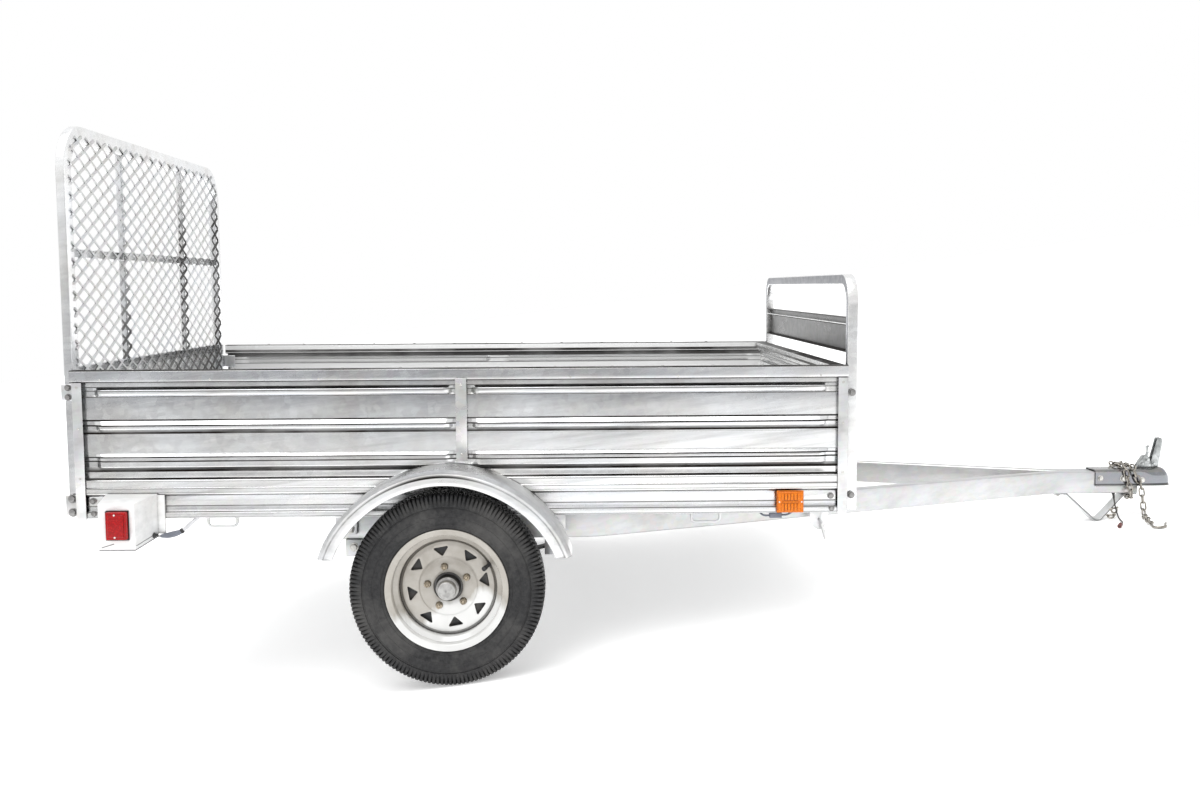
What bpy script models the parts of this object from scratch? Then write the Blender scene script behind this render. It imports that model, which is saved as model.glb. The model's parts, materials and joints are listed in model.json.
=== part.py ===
"""A small galvanised utility trailer: a tilting load bed with a mesh ramp gate, on a sprung single axle chassis.

Metres, +X forward, +Y to the left, +Z up. Every length below is given for the trailer standing level, with x and y
from the middle of the axle and z from the ground. The whole trailer then pitches nose down about its wheels until
the V stand under the tongue touches the ground, which is how it parks.
"""

import math

import bmesh
import bpy
from mathutils import Matrix, Vector, geometry

# ---------------------------------------------------------------- driving dimensions
WHEEL_R = 0.2665            # tyre radius
WHEEL_Y = 0.883             # centre plane of each wheel
BED_W = 1.600               # outside width of the bed
BED_BACK, BED_FRONT = -1.048, 1.1175
BED_LOW, FLOOR_Z, RAIL_TOP = 0.446, 0.5295, 0.8615
POST_BACK, POST_FRONT = -1.041, 1.116
WALL = 0.0025               # folded sheet and light tube
TUBE_WALL = 0.003

CHASSIS_LOW, CHASSIS_TOP, CHASSIS_T = 0.3655, 0.4405, 0.038
CHASSIS_BACK, CHASSIS_BEND, CHASSIS_JOIN, CHASSIS_NOSE = -0.320, 0.400, 2.000, 2.285
CHASSIS_Y, NOSE_Y = 0.701, 0.0205

TILT_X, TILT_Z = -0.295, 0.400          # pivot of the bed
GATE_X, GATE_Z = -1.0662, 0.478         # hinge of the ramp gate
GATE_TOP, GATE_LOW, GATE_W = 1.5485, 0.4475, 1.510
GATE_T, GATE_TUBE = 0.025, 0.050
GATE_MID, GATE_SILL = 1.1875, 0.8555    # middles of its two cross bars
HOOP_TOP, HOOP_LOW, HOOP_W = 1.114, 0.450, 1.570
HOOP_X, HOOP_TUBE = 1.1335, 0.030

FENDER_R, FENDER_END = 0.329, 15.2      # skin radius at the crown, and how far above level each end stops, in degrees
FENDER_X, FENDER_FLARE = -0.004, 0.093  # middle of the fender, and how much wider its arc gets towards its ends
FOOT_X, FOOT_Z, FOOT_R = 2.156, 0.2915, 0.025   # round foot of the tongue stand
ORIGIN_SHIFT = -0.6776                  # puts the origin under the middle of the whole

CHAIN_R, LEAD_R = 0.0085, 0.0025        # half the chain's width on edge, and the wiring lead's radius

HALF = BED_W / 2
PITCH = (math.asin((WHEEL_R - FOOT_R) / math.hypot(FOOT_X, FOOT_Z - WHEEL_R))
         + math.atan2(FOOT_Z - WHEEL_R, FOOT_X))
SIDES = (("right", -1), ("left", 1))

for old in list(bpy.data.objects):
    bpy.data.objects.remove(old, do_unlink=True)
for old in list(bpy.data.meshes):
    bpy.data.meshes.remove(old)

parts = bpy.data.collections.new("utility_trailer")
cutters = bpy.data.collections.new("cutters")
bpy.context.scene.collection.children.link(parts)
bpy.context.scene.collection.children.link(cutters)


# ---------------------------------------------------------------- materials
def material(name, colour, roughness, metallic):
    made = bpy.data.materials.new(name)
    made.use_nodes = True
    shader = made.node_tree.nodes["Principled BSDF"]
    shader.inputs["Base Color"].default_value = (*colour, 1)
    shader.inputs["Roughness"].default_value = roughness
    shader.inputs["Metallic"].default_value = metallic
    return made


GALVANISED = material("galvanised_steel", (0.66, 0.67, 0.68), 0.38, 1.0)
PAINT = material("wheel_paint", (0.74, 0.72, 0.67), 0.35, 0.0)
RUBBER = material("tyre_rubber", (0.02, 0.02, 0.02), 0.75, 0.0)
ZINC = material("zinc_plate", (0.55, 0.56, 0.58), 0.35, 1.0)
RED = material("red_lens", (0.45, 0.02, 0.02), 0.2, 0.0)
AMBER = material("amber_lens", (0.85, 0.30, 0.02), 0.2, 0.0)
BLACK = material("black_plastic", (0.03, 0.03, 0.03), 0.5, 0.0)


# ---------------------------------------------------------------- the frame of each body
def empty(name, parent, basis):
    made = bpy.data.objects.new(name, None)
    made.empty_display_size = 0.1
    parts.objects.link(made)
    made.parent = parent
    made.matrix_basis = basis
    return made


origin = empty("trailer_origin", None, Matrix())
chassis = empty("parked_pitch", origin,
                Matrix.Translation((ORIGIN_SHIFT, 0, WHEEL_R)) @ Matrix.Rotation(PITCH, 4, "Y")
                @ Matrix.Translation((0, 0, -WHEEL_R)))
LEVEL = {chassis: Matrix()}


def pivot(name, parent, place):
    made = empty(name, parent, LEVEL[parent].inverted() @ Matrix.Translation(place))
    LEVEL[made] = Matrix.Translation(place)
    return made


bed = pivot("bed_tilt_axis", chassis, (TILT_X, 0, TILT_Z))
gate = pivot("gate_hinge_axis", bed, (GATE_X, 0, GATE_Z))
wheels = {s: pivot(f"wheel_{side}_axis", chassis, (0, s * WHEEL_Y, WHEEL_R)) for side, s in SIDES}


def place(obj, body, basis=None, look=GALVANISED):
    """Hangs an object on its body. Its coordinates are those of the level trailer."""
    parts.objects.link(obj)
    obj.parent = body
    obj.matrix_parent_inverse = LEVEL[body].inverted()
    obj.matrix_basis = basis or Matrix()
    obj.data.materials.append(look)
    return obj


# ---------------------------------------------------------------- shapes
def rounded(points, radius, steps=4):
    """The path with each corner turned into an arc. A point may carry its own radius as a fourth number."""
    points = [(Vector(p[:3]), p[3] if len(p) > 3 else radius) for p in points]
    path = [points[0][0]]
    for (a, _), (b, r), (c, _) in zip(points, points[1:], points[2:]):
        into, out = (b - a).normalized(), (c - b).normalized()
        turn = into.angle(out)
        if turn < 1e-3 or r <= 0:
            path.append(b)
            continue
        reach = r * math.tan(turn / 2)
        start, side = b - into * reach, (out - into * into.dot(out)).normalized()
        centre = start + side * r
        for k in range(steps + 1):
            t = turn * k / steps
            path.append(centre - side * r * math.cos(t) + into * r * math.sin(t))
    path.append(points[-1][0])
    return path


def frames(points, up):
    """A section frame at each point of a path square to up: x to the right of the way, y up, mitred at corners."""
    points, up, made = [Vector(p[:3]) for p in points], Vector(up).normalized(), []
    for i, p in enumerate(points):
        ways = [(q - r).normalized() for q, r in zip(points[max(i, 1):i + 2], points[max(i - 1, 0):i + 1])]
        way = sum(ways, Vector()).normalized()
        right = way.cross(up) / way.dot(ways[0])
        made.append(Matrix((right, up, way)).transposed().to_4x4())
        made[-1].translation = p
    return made


def shell(name, body, section, along, wall, ring=False, look=GALVANISED):
    """Sweeps a line, or a ring, by extruding it from frame to frame, and gives it thickness. Walking along the
    section, the outside is on the right and the wall grows to the left."""
    bm = bmesh.new()
    verts = [bm.verts.new(along[0] @ Vector((a, b, 0))) for a, b in section]
    pairs = list(zip(verts, verts[1:])) + ([(verts[-1], verts[0])] if ring else [])
    edges = [bm.edges.new(pair) for pair in pairs]
    (a0, b0), (a1, b1) = section[:2]
    outward = along[0].to_3x3() @ Vector((b1 - b0, a0 - a1, 0))
    first = None
    for before, after in zip(along, along[1:]):
        new = bmesh.ops.extrude_edge_only(bm, edges=edges)["geom"]
        verts = {g for g in new if isinstance(g, bmesh.types.BMVert)}
        old = edges
        edges = [e for e in bm.edges if e.verts[0] in verts and e.verts[1] in verts]
        bmesh.ops.transform(bm, matrix=after @ before.inverted(), verts=list(verts))
        if first is None:
            bm.normal_update()
            first = old[0].link_faces[0].normal.dot(outward)
    if first < 0:
        bmesh.ops.reverse_faces(bm, faces=bm.faces)
    data = bpy.data.meshes.new(name)
    bm.to_mesh(data)
    bm.free()
    obj = place(bpy.data.objects.new(name, data), body, look=look)
    solid = obj.modifiers.new("thickness", "SOLIDIFY")
    solid.thickness, solid.offset, solid.use_even_offset = wall, -1, True
    return obj


def boxed(width, height, corner=0.003):
    """A rectangular tube's outline about its middle, anticlockwise, with chamfered corners."""
    w, h, c = width / 2, height / 2, corner
    return [(w, -h + c), (w, h - c), (w - c, h), (-w + c, h), (-w, h - c), (-w, -h + c), (-w + c, -h), (w - c, -h)]


def across(line, s):
    """A section given as (distance out from the middle, height), for a sweep along +X on side s."""
    return [(y, z) for y, z in line] if s < 0 else [(-y, z) for y, z in reversed(line)]


def tube(name, body, width, height, points, up, wall=TUBE_WALL, look=GALVANISED):
    return shell(name, body, boxed(width, height), frames(points, up), wall, ring=True, look=look)


def mesh_object(name, bm):
    data = bpy.data.meshes.new(name)
    bm.to_mesh(data)
    bm.free()
    return bpy.data.objects.new(name, data)


def box(name, body, x, y, z, look=GALVANISED, bevel=0.0):
    lo, hi = Vector((min(x), min(y), min(z))), Vector((max(x), max(y), max(z)))
    bm = bmesh.new()
    bmesh.ops.create_cube(bm, size=1, matrix=Matrix.Translation((lo + hi) / 2) @ Matrix.Diagonal((*(hi - lo), 1)))
    obj = place(mesh_object(name, bm), body, look=look)
    if bevel:
        edge = obj.modifiers.new("edges", "BEVEL")
        edge.width, edge.segments = bevel, 1
    return obj


def plate(name, body, outline, middle, right, up, thickness, look=GALVANISED, holes=()):
    """A flat outline of (right, up) points, as thick as given about its middle."""
    data = bpy.data.curves.new(name, "CURVE")
    data.dimensions, data.fill_mode, data.extrude = "2D", "BOTH", thickness / 2
    for loop in (outline, *holes):
        line = data.splines.new("POLY")
        line.points.add(len(loop) - 1)
        for point, (a, b) in zip(line.points, loop):
            point.co = (a, b, 0, 1)
        line.use_cyclic_u = True
    right, up = Vector(right), Vector(up)
    basis = Matrix((right, up, right.cross(up))).transposed().to_4x4()
    basis.translation = middle
    return place(bpy.data.objects.new(name, data), body, basis, look)


def rod(name, body, points, radius, look=GALVANISED, sides=2):
    data = bpy.data.curves.new(name, "CURVE")
    data.dimensions, data.bevel_depth, data.bevel_resolution, data.use_fill_caps = "3D", radius, sides, True
    line = data.splines.new("POLY")
    line.points.add(len(points) - 1)
    for point, p in zip(line.points, points):
        point.co = (*p[:3], 1)
    return place(bpy.data.objects.new(name, data), body, look=look)


def turned(name, body, profile, ring, steps, s, look, phase=0.0):
    """A profile of (radius, distance outboard), down its outer side, spun about the wheel's axle."""
    bm = bmesh.new()
    verts = [bm.verts.new((r, 0, y)) for r, y in profile]
    for pair in list(zip(verts, verts[1:])) + ([(verts[-1], verts[0])] if ring else []):
        bm.edges.new(pair)
    basis = Matrix(((1, 0, 0), (0, 0, s), (0, -s, 0))).to_4x4() @ Matrix.Rotation(phase, 4, "Z")
    basis.translation = (0, s * WHEEL_Y, WHEEL_R)
    obj = place(mesh_object(name, bm), body, basis, look)
    spin = obj.modifiers.new("spin", "SCREW")
    spin.steps = spin.render_steps = steps
    spin.use_merge_vertices, spin.merge_threshold, spin.use_smooth_shade = True, 0.00001, False
    return obj


def as_mesh(obj):
    """The same object with its modifiers or curve turned into a plain mesh."""
    data = bpy.data.meshes.new_from_object(obj.evaluated_get(bpy.context.evaluated_depsgraph_get()))
    bm = bmesh.new()
    bm.from_mesh(data)
    bmesh.ops.remove_doubles(bm, verts=bm.verts, dist=0.00001)
    bmesh.ops.recalc_face_normals(bm, faces=bm.faces)
    bm.to_mesh(data)
    bm.free()
    name, body, look, basis = obj.name, obj.parent, obj.active_material, obj.matrix_basis.copy()
    bpy.data.objects.remove(obj, do_unlink=True)
    data.materials.clear()
    return place(bpy.data.objects.new(name, data), body, basis, look)


def combine(target, others, operation):
    """Joins or cuts with helper objects, which leave the parts for the cutters' collection."""
    bpy.context.view_layer.update()
    target = as_mesh(target) if target.type == "CURVE" else target
    for other in others:
        other = as_mesh(other) if other.type == "CURVE" else other
        parts.objects.unlink(other)
        cutters.objects.link(other)
        other.hide_render, other.display_type = True, "WIRE"
        step = target.modifiers.new(operation.lower(), "BOOLEAN")
        step.operation, step.object = operation, other
    return target


def arc(centre, radius, start, end, steps):
    return [(centre[0] + radius * math.cos(math.radians(start + (end - start) * k / steps)),
             centre[1] + radius * math.sin(math.radians(start + (end - start) * k / steps))) for k in range(steps + 1)]


# ---------------------------------------------------------------- chassis
CHASSIS_MID = (CHASSIS_LOW + CHASSIS_TOP) / 2
CHASSIS_H = CHASSIS_TOP - CHASSIS_LOW
for side, s in SIDES:
    path = rounded([(CHASSIS_BACK, s * CHASSIS_Y, CHASSIS_MID), (CHASSIS_BEND, s * CHASSIS_Y, CHASSIS_MID),
                    (CHASSIS_JOIN, s * NOSE_Y, CHASSIS_MID), (CHASSIS_NOSE, s * NOSE_Y, CHASSIS_MID)], 0.25, 3)
    rail = tube(f"chassis_rail_{side}", chassis, CHASSIS_T, CHASSIS_H, path, (0, 0, 1))
    # leaf spring: full main leaf with shorter leaves under its middle, each (half length, thickness)
    middle, rise = s * CHASSIS_Y, 0.046
    leaves = ((0.300, 0.0065), (0.210, 0.0065), (0.120, 0.0065))

    def bow(x, drop):
        return 0.3065 + rise * (x / 0.300) ** 2 - drop

    top = [(x, bow(x, 0)) for x in (0.300 - 0.60 * k / 12 for k in range(13))]
    under, drop = [], 0
    for half, thick in leaves:
        under.append((-half, bow(-half, drop)))
        drop += thick
        under.append((-half, bow(-half, drop)))
    under += [(-x, z) for x, z in reversed(under)]
    plate(f"leaf_spring_{side}", chassis, (top + under[1:-1])[::-1], (0, middle, 0), (1, 0, 0), (0, 0, 1), 0.045)
    # spring hangers, welded under the rail
    u = [(0.0275, 0.318), (0.0275, CHASSIS_LOW + 0.001), (-0.0275, CHASSIS_LOW + 0.001), (-0.0275, 0.318)]
    hangers = [shell(f"spring_hanger_{end}_{side}", chassis, u,
                     frames([(x - 0.024, middle, 0), (x + 0.024, middle, 0)], (0, 0, 1)), 0.004)
               for end, x in (("front", 0.285), ("rear", -0.285))]
    combine(rail, hangers, "UNION")

# axle: a square tube with a round spindle let into each end, which carries the hub
beam = tube("axle_beam", chassis, 0.040, 0.040, [(0, -0.7805, WHEEL_R), (0, 0.7805, WHEEL_R)], (0, 0, 1), 0.004)
SPINDLE = [(0, 0.030), (0.0150, 0.030), (0.0150, -0.0880), (0.0182, -0.0900), (0.0182, -0.1400), (0, -0.1400)]
combine(beam, [turned(f"spindle_{side}", chassis, SPINDLE, False, 16, s, ZINC) for side, s in SIDES], "UNION")
for name, x, half in (("chassis_crossmember_rear", -0.180, CHASSIS_Y - 0.0195), ("chassis_crossmember_front", 0.620, 0.5735)):
    tube(name, chassis, 0.038, 0.050, [(x, -half, CHASSIS_MID), (x, half, CHASSIS_MID)], (0, 0, 1))

# coupler: a cover over the two tubes' noses that narrows to the ball socket
SOCKET_X, COUPLER_LOW, COUPLER_TOP = 2.368, 0.391, 0.4475
nose = arc((SOCKET_X, 0), 0.038, -62, 62, 8)
outline = [(2.137, -0.0435), (2.290, -0.0435)] + nose + [(2.290, 0.0435), (2.137, 0.0435)]
coupler = plate("coupler", chassis, outline, (0, 0, (COUPLER_LOW + COUPLER_TOP) / 2), (1, 0, 0), (0, 1, 0),
                COUPLER_TOP - COUPLER_LOW)
bm = bmesh.new()
bmesh.ops.create_uvsphere(bm, u_segments=16, v_segments=10, radius=0.0275,
                          matrix=Matrix.Translation((SOCKET_X, 0, 0.4150)))
ball = place(mesh_object("socket_ball", bm), chassis)
bm = bmesh.new()
bmesh.ops.create_cone(bm, cap_ends=True, segments=16, radius1=0.0275, radius2=0.0275, depth=0.030,
                      matrix=Matrix.Translation((SOCKET_X, 0, 0.3995)))
mouth = place(mesh_object("socket_mouth", bm), chassis)
coupler = combine(coupler, [
    box("coupler_channel", chassis, (2.10, 2.2875), (-0.0400, 0.0400), (0.38, CHASSIS_TOP + 0.0006)),
    box("coupler_front_channel", chassis, (2.28, 2.3300), (-0.0280, 0.0280), (0.38, 0.4360)), mouth, ball], "DIFFERENCE")
plate("coupler_latch", chassis,
      [(2.300, 0.4480), (2.374, 0.4480), (2.370, 0.470), (2.380, 0.548), (2.372, 0.5525), (2.352, 0.5525),
       (2.343, 0.500), (2.331, 0.523), (2.325, 0.519), (2.333, 0.484), (2.318, 0.476)],
      (0, 0, 0), (1, 0, 0), (0, 0, 1), 0.022, look=ZINC)

# V stand under the tongue: one bent strap, bolted up under the two tubes
apex, flange = FOOT_Z - FOOT_R, CHASSIS_LOW - 0.0063
for _ in range(5):
    strap = rounded([(2.006, 0, flange, 0), (2.044, 0, flange, 0.008), (FOOT_X, 0, apex, FOOT_R),
                     (2.251, 0, flange, 0.008), (2.289, 0, flange, 0)], 0.01, 6)
    apex += FOOT_Z - FOOT_R - min(p.z for p in strap)   # until the foot's arc ends level with FOOT_Z - FOOT_R
shell("tongue_stand", chassis, [(0, 0.0255), (0, -0.0255)], frames(strap, (0, 1, 0)), 0.006)

# ---------------------------------------------------------------- wheels
TYRE = [(0.1542, 0.0485), (0.1700, 0.0548), (0.1780, 0.0590), (0.2050, 0.0635), (0.2400, 0.0585), (0.2610, 0.0450)]
RIM = [(0.1700, 0.0610), (0.1713, 0.0575), (0.1535, 0.0500), (0.1515, 0.0300), (0.1375, 0.0240),
       (0.1375, -0.0060), (0.1515, -0.0200), (0.1535, -0.0500), (0.1713, -0.0575), (0.1700, -0.0610),
       (0.1505, -0.0525), (0.1487, -0.0215), (0.1345, -0.0080), (0.1345, 0.0030), (0.1250, 0.0045),
       (0.0805, 0.0030), (0.0765, 0.0072), (0.0400, 0.0072), (0.0400, 0.0107), (0.0780, 0.0107), (0.0820, 0.0065),
       (0.1250, 0.0082), (0.1345, 0.0100), (0.1345, 0.0255), (0.1487, 0.0315), (0.1505, 0.0520)]
HUB = [(0, 0.0700), (0.0240, 0.0685), (0.0255, 0.0650), (0.0255, 0.0440), (0.0300, 0.0430), (0.0300, 0.0390),
       (0.0320, 0.0380), (0.0320, 0.0067), (0.0625, 0.0067), (0.0625, -0.0060), (0.0330, -0.0080), (0.0300, -0.0580),
       (0.0165, -0.0580), (0.0165, 0.0400), (0, 0.0400)]
TYRE_STEPS, WINDOWS = 32, 8
flat_r = 1 / math.cos(math.pi / TYRE_STEPS)
crown = [(r * flat_r if r > 0.26 else r, y) for r, y in TYRE + [(WHEEL_R, 0.0300)]]
liner = [(WHEEL_R - 0.012, 0.0260), (0.2400, 0.0480), (0.2050, 0.0545), (0.1760, 0.0470), (0.1542, 0.0380)]
tyre_ring = crown + [(r, -y) for r, y in reversed(crown)] + [(r, -y) for r, y in reversed(liner)] + liner
for side, s in SIDES:
    # the tyre's facets are turned so that one lies flat on the ground
    turned(f"tyre_{side}", wheels[s], tyre_ring, True, TYRE_STEPS, s, RUBBER,
           phase=math.pi / TYRE_STEPS - s * PITCH)
    rim = turned(f"wheel_rim_{side}", wheels[s], RIM, True, 24, s, PAINT)
    bm = bmesh.new()
    for k in range(WINDOWS):
        turn = math.radians(10 + 360 * k / WINDOWS)
        bmesh.ops.create_cone(bm, cap_ends=True, segments=3, radius1=0.0165, radius2=0.0165, depth=0.05, matrix=(
            Matrix.Rotation(turn, 4, "Z") @ Matrix.Translation((0.104, 0, 0)) @ Matrix.Rotation(math.pi / 2, 4, "Z")))
    windows = mesh_object(f"rim_windows_{side}", bm)
    place(windows, wheels[s], rim.matrix_basis.copy())
    combine(rim, [windows], "DIFFERENCE")
    turned(f"wheel_hub_{side}", wheels[s], HUB, False, 20, s, ZINC)

# ---------------------------------------------------------------- bed
ALONG = frames([(POST_BACK + 0.0035, 0, 0), (POST_FRONT - 0.0035, 0, 0)], (0, 0, 1))
RAIL = [(0.758, BED_LOW), (0.7975, BED_LOW), (HALF, BED_LOW + 0.0025), (HALF, 0.4600), (0.7945, 0.4700), (0.7945, 0.5080),
        (HALF, 0.5150), (HALF, 0.5305), (0.7975, 0.5330), (0.758, 0.5330)]


def corrugated(flat, proud, low, high, foot, ribs):
    """A ribbed sheet's outer line as (out, height): ribs are (start, full, fade, end) heights."""
    line = [(foot, low), (foot, low + 0.020), (flat, low + 0.026)]
    for start, full, fade, end in ribs:
        line += [(flat, start), (proud, full), (proud, fade), (flat, end)]
    return line + [(flat, high)]


RIBS = ((0.5788, 0.5903, 0.6162, 0.6278), (0.6851, 0.6963, 0.7067, 0.7212), (0.7866, 0.7925, 0.8060, 0.8137))
for side, s in SIDES:
    shell(f"bed_side_rail_{side}", bed, across(RAIL, s), ALONG, 0.003)
    shell(f"side_panel_{side}", bed, across(corrugated(0.785, 0.797, 0.5335, 0.8272, 0.797, RIBS), s), ALONG, 0.002)
    tube(f"top_rail_{side}", bed, 0.040, 0.034,
         [(BED_BACK, s * 0.780, 0.8446), (BED_FRONT, s * 0.780, 0.8446)], (0, 0, 1), 0.0025)
    for end, x, way in (("rear", POST_BACK, 1), ("front", POST_FRONT, -1)):
        # an angle wrapped round the corner, seen from above
        corner = [(x, s * 0.763), (x, s * 0.803), (x + way * 0.027, s * 0.803)]
        corner = corner if s * way > 0 else corner[::-1]
        up = [Matrix.Translation((0, 0, z)) for z in (0.441, 0.8272)]
        angle = shell(f"corner_post_{end}_{side}", bed, corner[::-1], up, 0.0025)
        if end == "rear":   # with the gate's hinge plate and catch plate, which reach back past the post
            plates = [box(f"gate_{kind}_{side}", bed, (-1.086, -1.010), (s * 0.7595, s * 0.7640), z, bevel=0.003)
                      for kind, z in (("hinge", (0.4495, 0.508)), ("catch", (0.775, 0.822)))]
            combine(angle, plates, "UNION")
    box(f"mid_stake_{side}", bed, (0.019, 0.050), (s * 0.8005, s * 0.8060), (0.6025, 0.834))
    # fender: the skin runs out over the tyre, turns down at a soft shoulder and ends in a skirt
    skin = [(0.8015, 0.306), (0.8015, FENDER_R), (0.930, FENDER_R), (0.946, 0.325), (0.956, 0.315), (0.9585, 0.291)]
    steps = 18
    spans = [math.radians(FENDER_END + (180 - 2 * FENDER_END) * k / steps) for k in range(steps + 1)]
    ways = []
    for a in spans:
        r = 1 + FENDER_FLARE * abs(math.cos(a)) ** 3.2
        ways.append(Matrix(((0, r * math.cos(a), -math.sin(a), FENDER_X), (s, 0, 0, 0),
                            (0, r * math.sin(a), math.cos(a), WHEEL_R), (0, 0, 0, 1))))
    shell(f"fender_{side}", bed, skin[::-1], ways, 0.002)
    # lamp bracket: a folded box, open below and behind, with the lamp's two lenses through its side and rear plates
    plan = [(-0.957, 0.8035), (-0.945, 0.900), (-0.847, 0.900), (-0.815, 0.8035)]
    inner = [(-0.9542, 0.79), (-0.9425, 0.8975), (-0.8487, 0.8975), (-0.8180, 0.79)]
    low, high = 0.382, 0.511
    turn = 1 if s > 0 else -1
    bracket = plate(f"lamp_bracket_{side}", bed, [(x, s * y) for x, y in plan[::turn]], (0, 0, (low + high) / 2),
                    (1, 0, 0), (0, 1, 0), high - low)
    room = plate(f"lamp_room_{side}", bed, [(x, s * y) for x, y in inner[::turn]], (0, 0, (low + high) / 2 - 0.0225),
                 (1, 0, 0), (0, 1, 0), high - low + 0.04)
    lens_z, hole_z = (0.4055, 0.4845), (0.4050, 0.4850)
    combine(bracket, [room, box(f"side_hole_{side}", bed, (-0.9260, -0.8640), (s * 0.88, s * 0.91), hole_z),
                      box(f"rear_hole_{side}", bed, (-0.98, -0.93), (s * 0.8260, s * 0.8840), hole_z)], "DIFFERENCE")
    lamp = box(f"tail_lamp_{side}", bed, (-0.9415, -0.8515), (s * 0.8150, s * 0.8968), (0.400, 0.500), RED)
    combine(lamp, [box(f"side_lens_{side}", bed, (-0.9255, -0.8645), (s * 0.89, s * 0.9210), lens_z, RED, 0.002),
                   box(f"rear_lens_{side}", bed, (-0.9720, -0.9350), (s * 0.8265, s * 0.8835), lens_z, RED, 0.002)], "UNION")
    box(f"side_marker_{side}", bed, (0.917, 0.993), (s * 0.8005, s * 0.8150), (0.4475, 0.510), AMBER, 0.003)
    for end, x0, x1 in (("rear", -0.684, -0.595), ("front", 0.674, 0.762)):
        loop = rounded([(x0 + 0.004, s * 0.789, 0.4456, 0), (x0 + 0.004, s * 0.789, 0.421), (x1 - 0.004, s * 0.789, 0.421),
                        (x1 - 0.004, s * 0.789, 0.4456, 0)], 0.012, 3)
        rod(f"tie_down_{end}_{side}", bed, loop, 0.004)
    # pivot bracket round the chassis rail's end, hung from the crossmember above it
    grip = CHASSIS_T / 2 + 0.0085
    fork = [(grip, 0.3835), (grip, 0.4872), (-grip, 0.4872), (-grip, 0.3835)]
    shell(f"tilt_bracket_{side}", bed, fork,
          frames([(TILT_X - 0.020, s * CHASSIS_Y, 0), (TILT_X + 0.020, s * CHASSIS_Y, 0)], (0, 0, 1)), 0.004)
    # latch ear on the front sill, just outside the chassis rail, with its draw pin
    ear = [(1.075, 0.4456), (1.075, 0.352)] + arc((1.104, 0.352), 0.021, 200, 340, 5) + [(1.133, 0.352), (1.133, 0.4456)]
    ear = plate(f"latch_bracket_{side}", bed, ear, (0, s * 0.4560, 0), (1, 0, 0), (0, 0, 1), 0.005)
    pin = rod(f"latch_pin_{side}", bed, [(1.104, s * 0.4550, 0.362), (1.104, s * 0.4680, 0.362),
                                         (1.1085, s * 0.4720, 0.352), (1.1220, s * 0.4720, 0.305)], 0.005, ZINC)
    combine(ear, [pin], "UNION")

box("bed_floor", bed, (-1.018, 1.086), (-0.757, 0.757), (FLOOR_Z - 0.0018, FLOOR_Z))
for name, x, width, low in (("rear_sill", -1.0000, 0.036, BED_LOW), ("front_sill", 1.0900, 0.040, BED_LOW),
                            ("floor_crossmember_1", -0.640, 0.040, 0.4875), ("floor_crossmember_2", TILT_X, 0.050, 0.4875),
                            ("floor_crossmember_3", 0.180, 0.040, 0.4875), ("floor_crossmember_4", 0.640, 0.040, 0.4875)):
    high = FLOOR_Z - 0.0021
    tube(name, bed, width, high - low, [(x, -0.757, (low + high) / 2), (x, 0.757, (low + high) / 2)], (0, 0, 1), 0.0020)

across_bed = frames([(0, -0.757, 0), (0, 0.757, 0)], (0, 0, 1))
front = [(x, z) for x, z in corrugated(1.098, 1.108, 0.5335, 0.8272, 1.108, RIBS)]
shell("front_panel", bed, front, across_bed, 0.002)
tube("front_top_rail", bed, 0.038, 0.034, [(1.098, -0.7595, 0.8446), (1.098, 0.7595, 0.8446)], (0, 0, 1), 0.0025)
post = HOOP_W / 2 - 0.0225
hoop = rounded([(HOOP_X, -post, HOOP_LOW), (HOOP_X, -post, HOOP_TOP - 0.0120), (HOOP_X, post, HOOP_TOP - 0.0120),
                (HOOP_X, post, HOOP_LOW)], 0.075, 5)
arch = tube("front_hoop", bed, HOOP_TUBE, HOOP_TUBE, hoop, (1, 0, 0), 0.0025)
# load stop: a channel across the hoop, open to the bed
load_stop = shell("load_stop", bed, [(1.120, 0.895), (1.1405, 0.895), (1.1405, 0.995), (1.120, 0.995)],
                  frames([(0, 0.0120 - post, 0), (0, post - 0.0120, 0)], (0, 0, 1)), 0.0025)
combine(arch, [load_stop], "UNION")

# ---------------------------------------------------------------- ramp gate
post = GATE_W / 2 - GATE_TUBE / 2
top = GATE_TOP - GATE_TUBE / 2
frame = rounded([(GATE_X, -post, GATE_LOW), (GATE_X, -post, top), (GATE_X, post, top), (GATE_X, post, GATE_LOW)], 0.110, 5)
hoop = tube("gate_frame", gate, GATE_TUBE, GATE_T, frame, (1, 0, 0), 0.002)
inside = post - GATE_TUBE / 2
# cross bars: channels open to the front, and two square bars through them
bars = []
for name, z in (("bottom", GATE_LOW + 0.0130), ("sill", GATE_SILL), ("middle", GATE_MID)):
    lip = [(0.0122, 0.0125), (-0.0122, 0.0125), (-0.0122, -0.0125), (0.0122, -0.0125)]
    bars.append(shell(f"gate_bar_{name}", gate, lip,
                      frames([(GATE_X, -inside - 0.001, z), (GATE_X, inside + 0.001, z)], (0, 0, 1)), 0.002))
for number, y in ((1, -0.2975), (2, 0.2975)):
    bars.append(box(f"gate_upright_{number}", gate, (GATE_X - 0.008, GATE_X + 0.008), (y - 0.008, y + 0.008),
                    (GATE_SILL, GATE_TOP - GATE_TUBE + 0.001)))
combine(hoop, bars, "UNION")
panel = corrugated(-1.064, -1.072, 0.4735, GATE_SILL - 0.0130, -1.064,
                   ((0.520, 0.530, 0.560, 0.570), (0.640, 0.650, 0.680, 0.690), (0.760, 0.770, 0.800, 0.810)))
shell("gate_panel", gate, panel[::-1], frames([(0, 0.0005 - inside, 0), (0, inside - 0.0005, 0)], (0, 0, 1)), 0.0015)
corner = 0.085
sheet = ([(-0.725, 0.452)] + [(0.725, 0.452)] + [(0.725 - corner + a, 1.5220 - corner + b) for a, b in arc((0, 0), corner, 0, 90, 5)]
         + [(-0.725 + corner + a, 1.5220 - corner + b) for a, b in arc((0, 0), corner, 90, 180, 5)])
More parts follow.
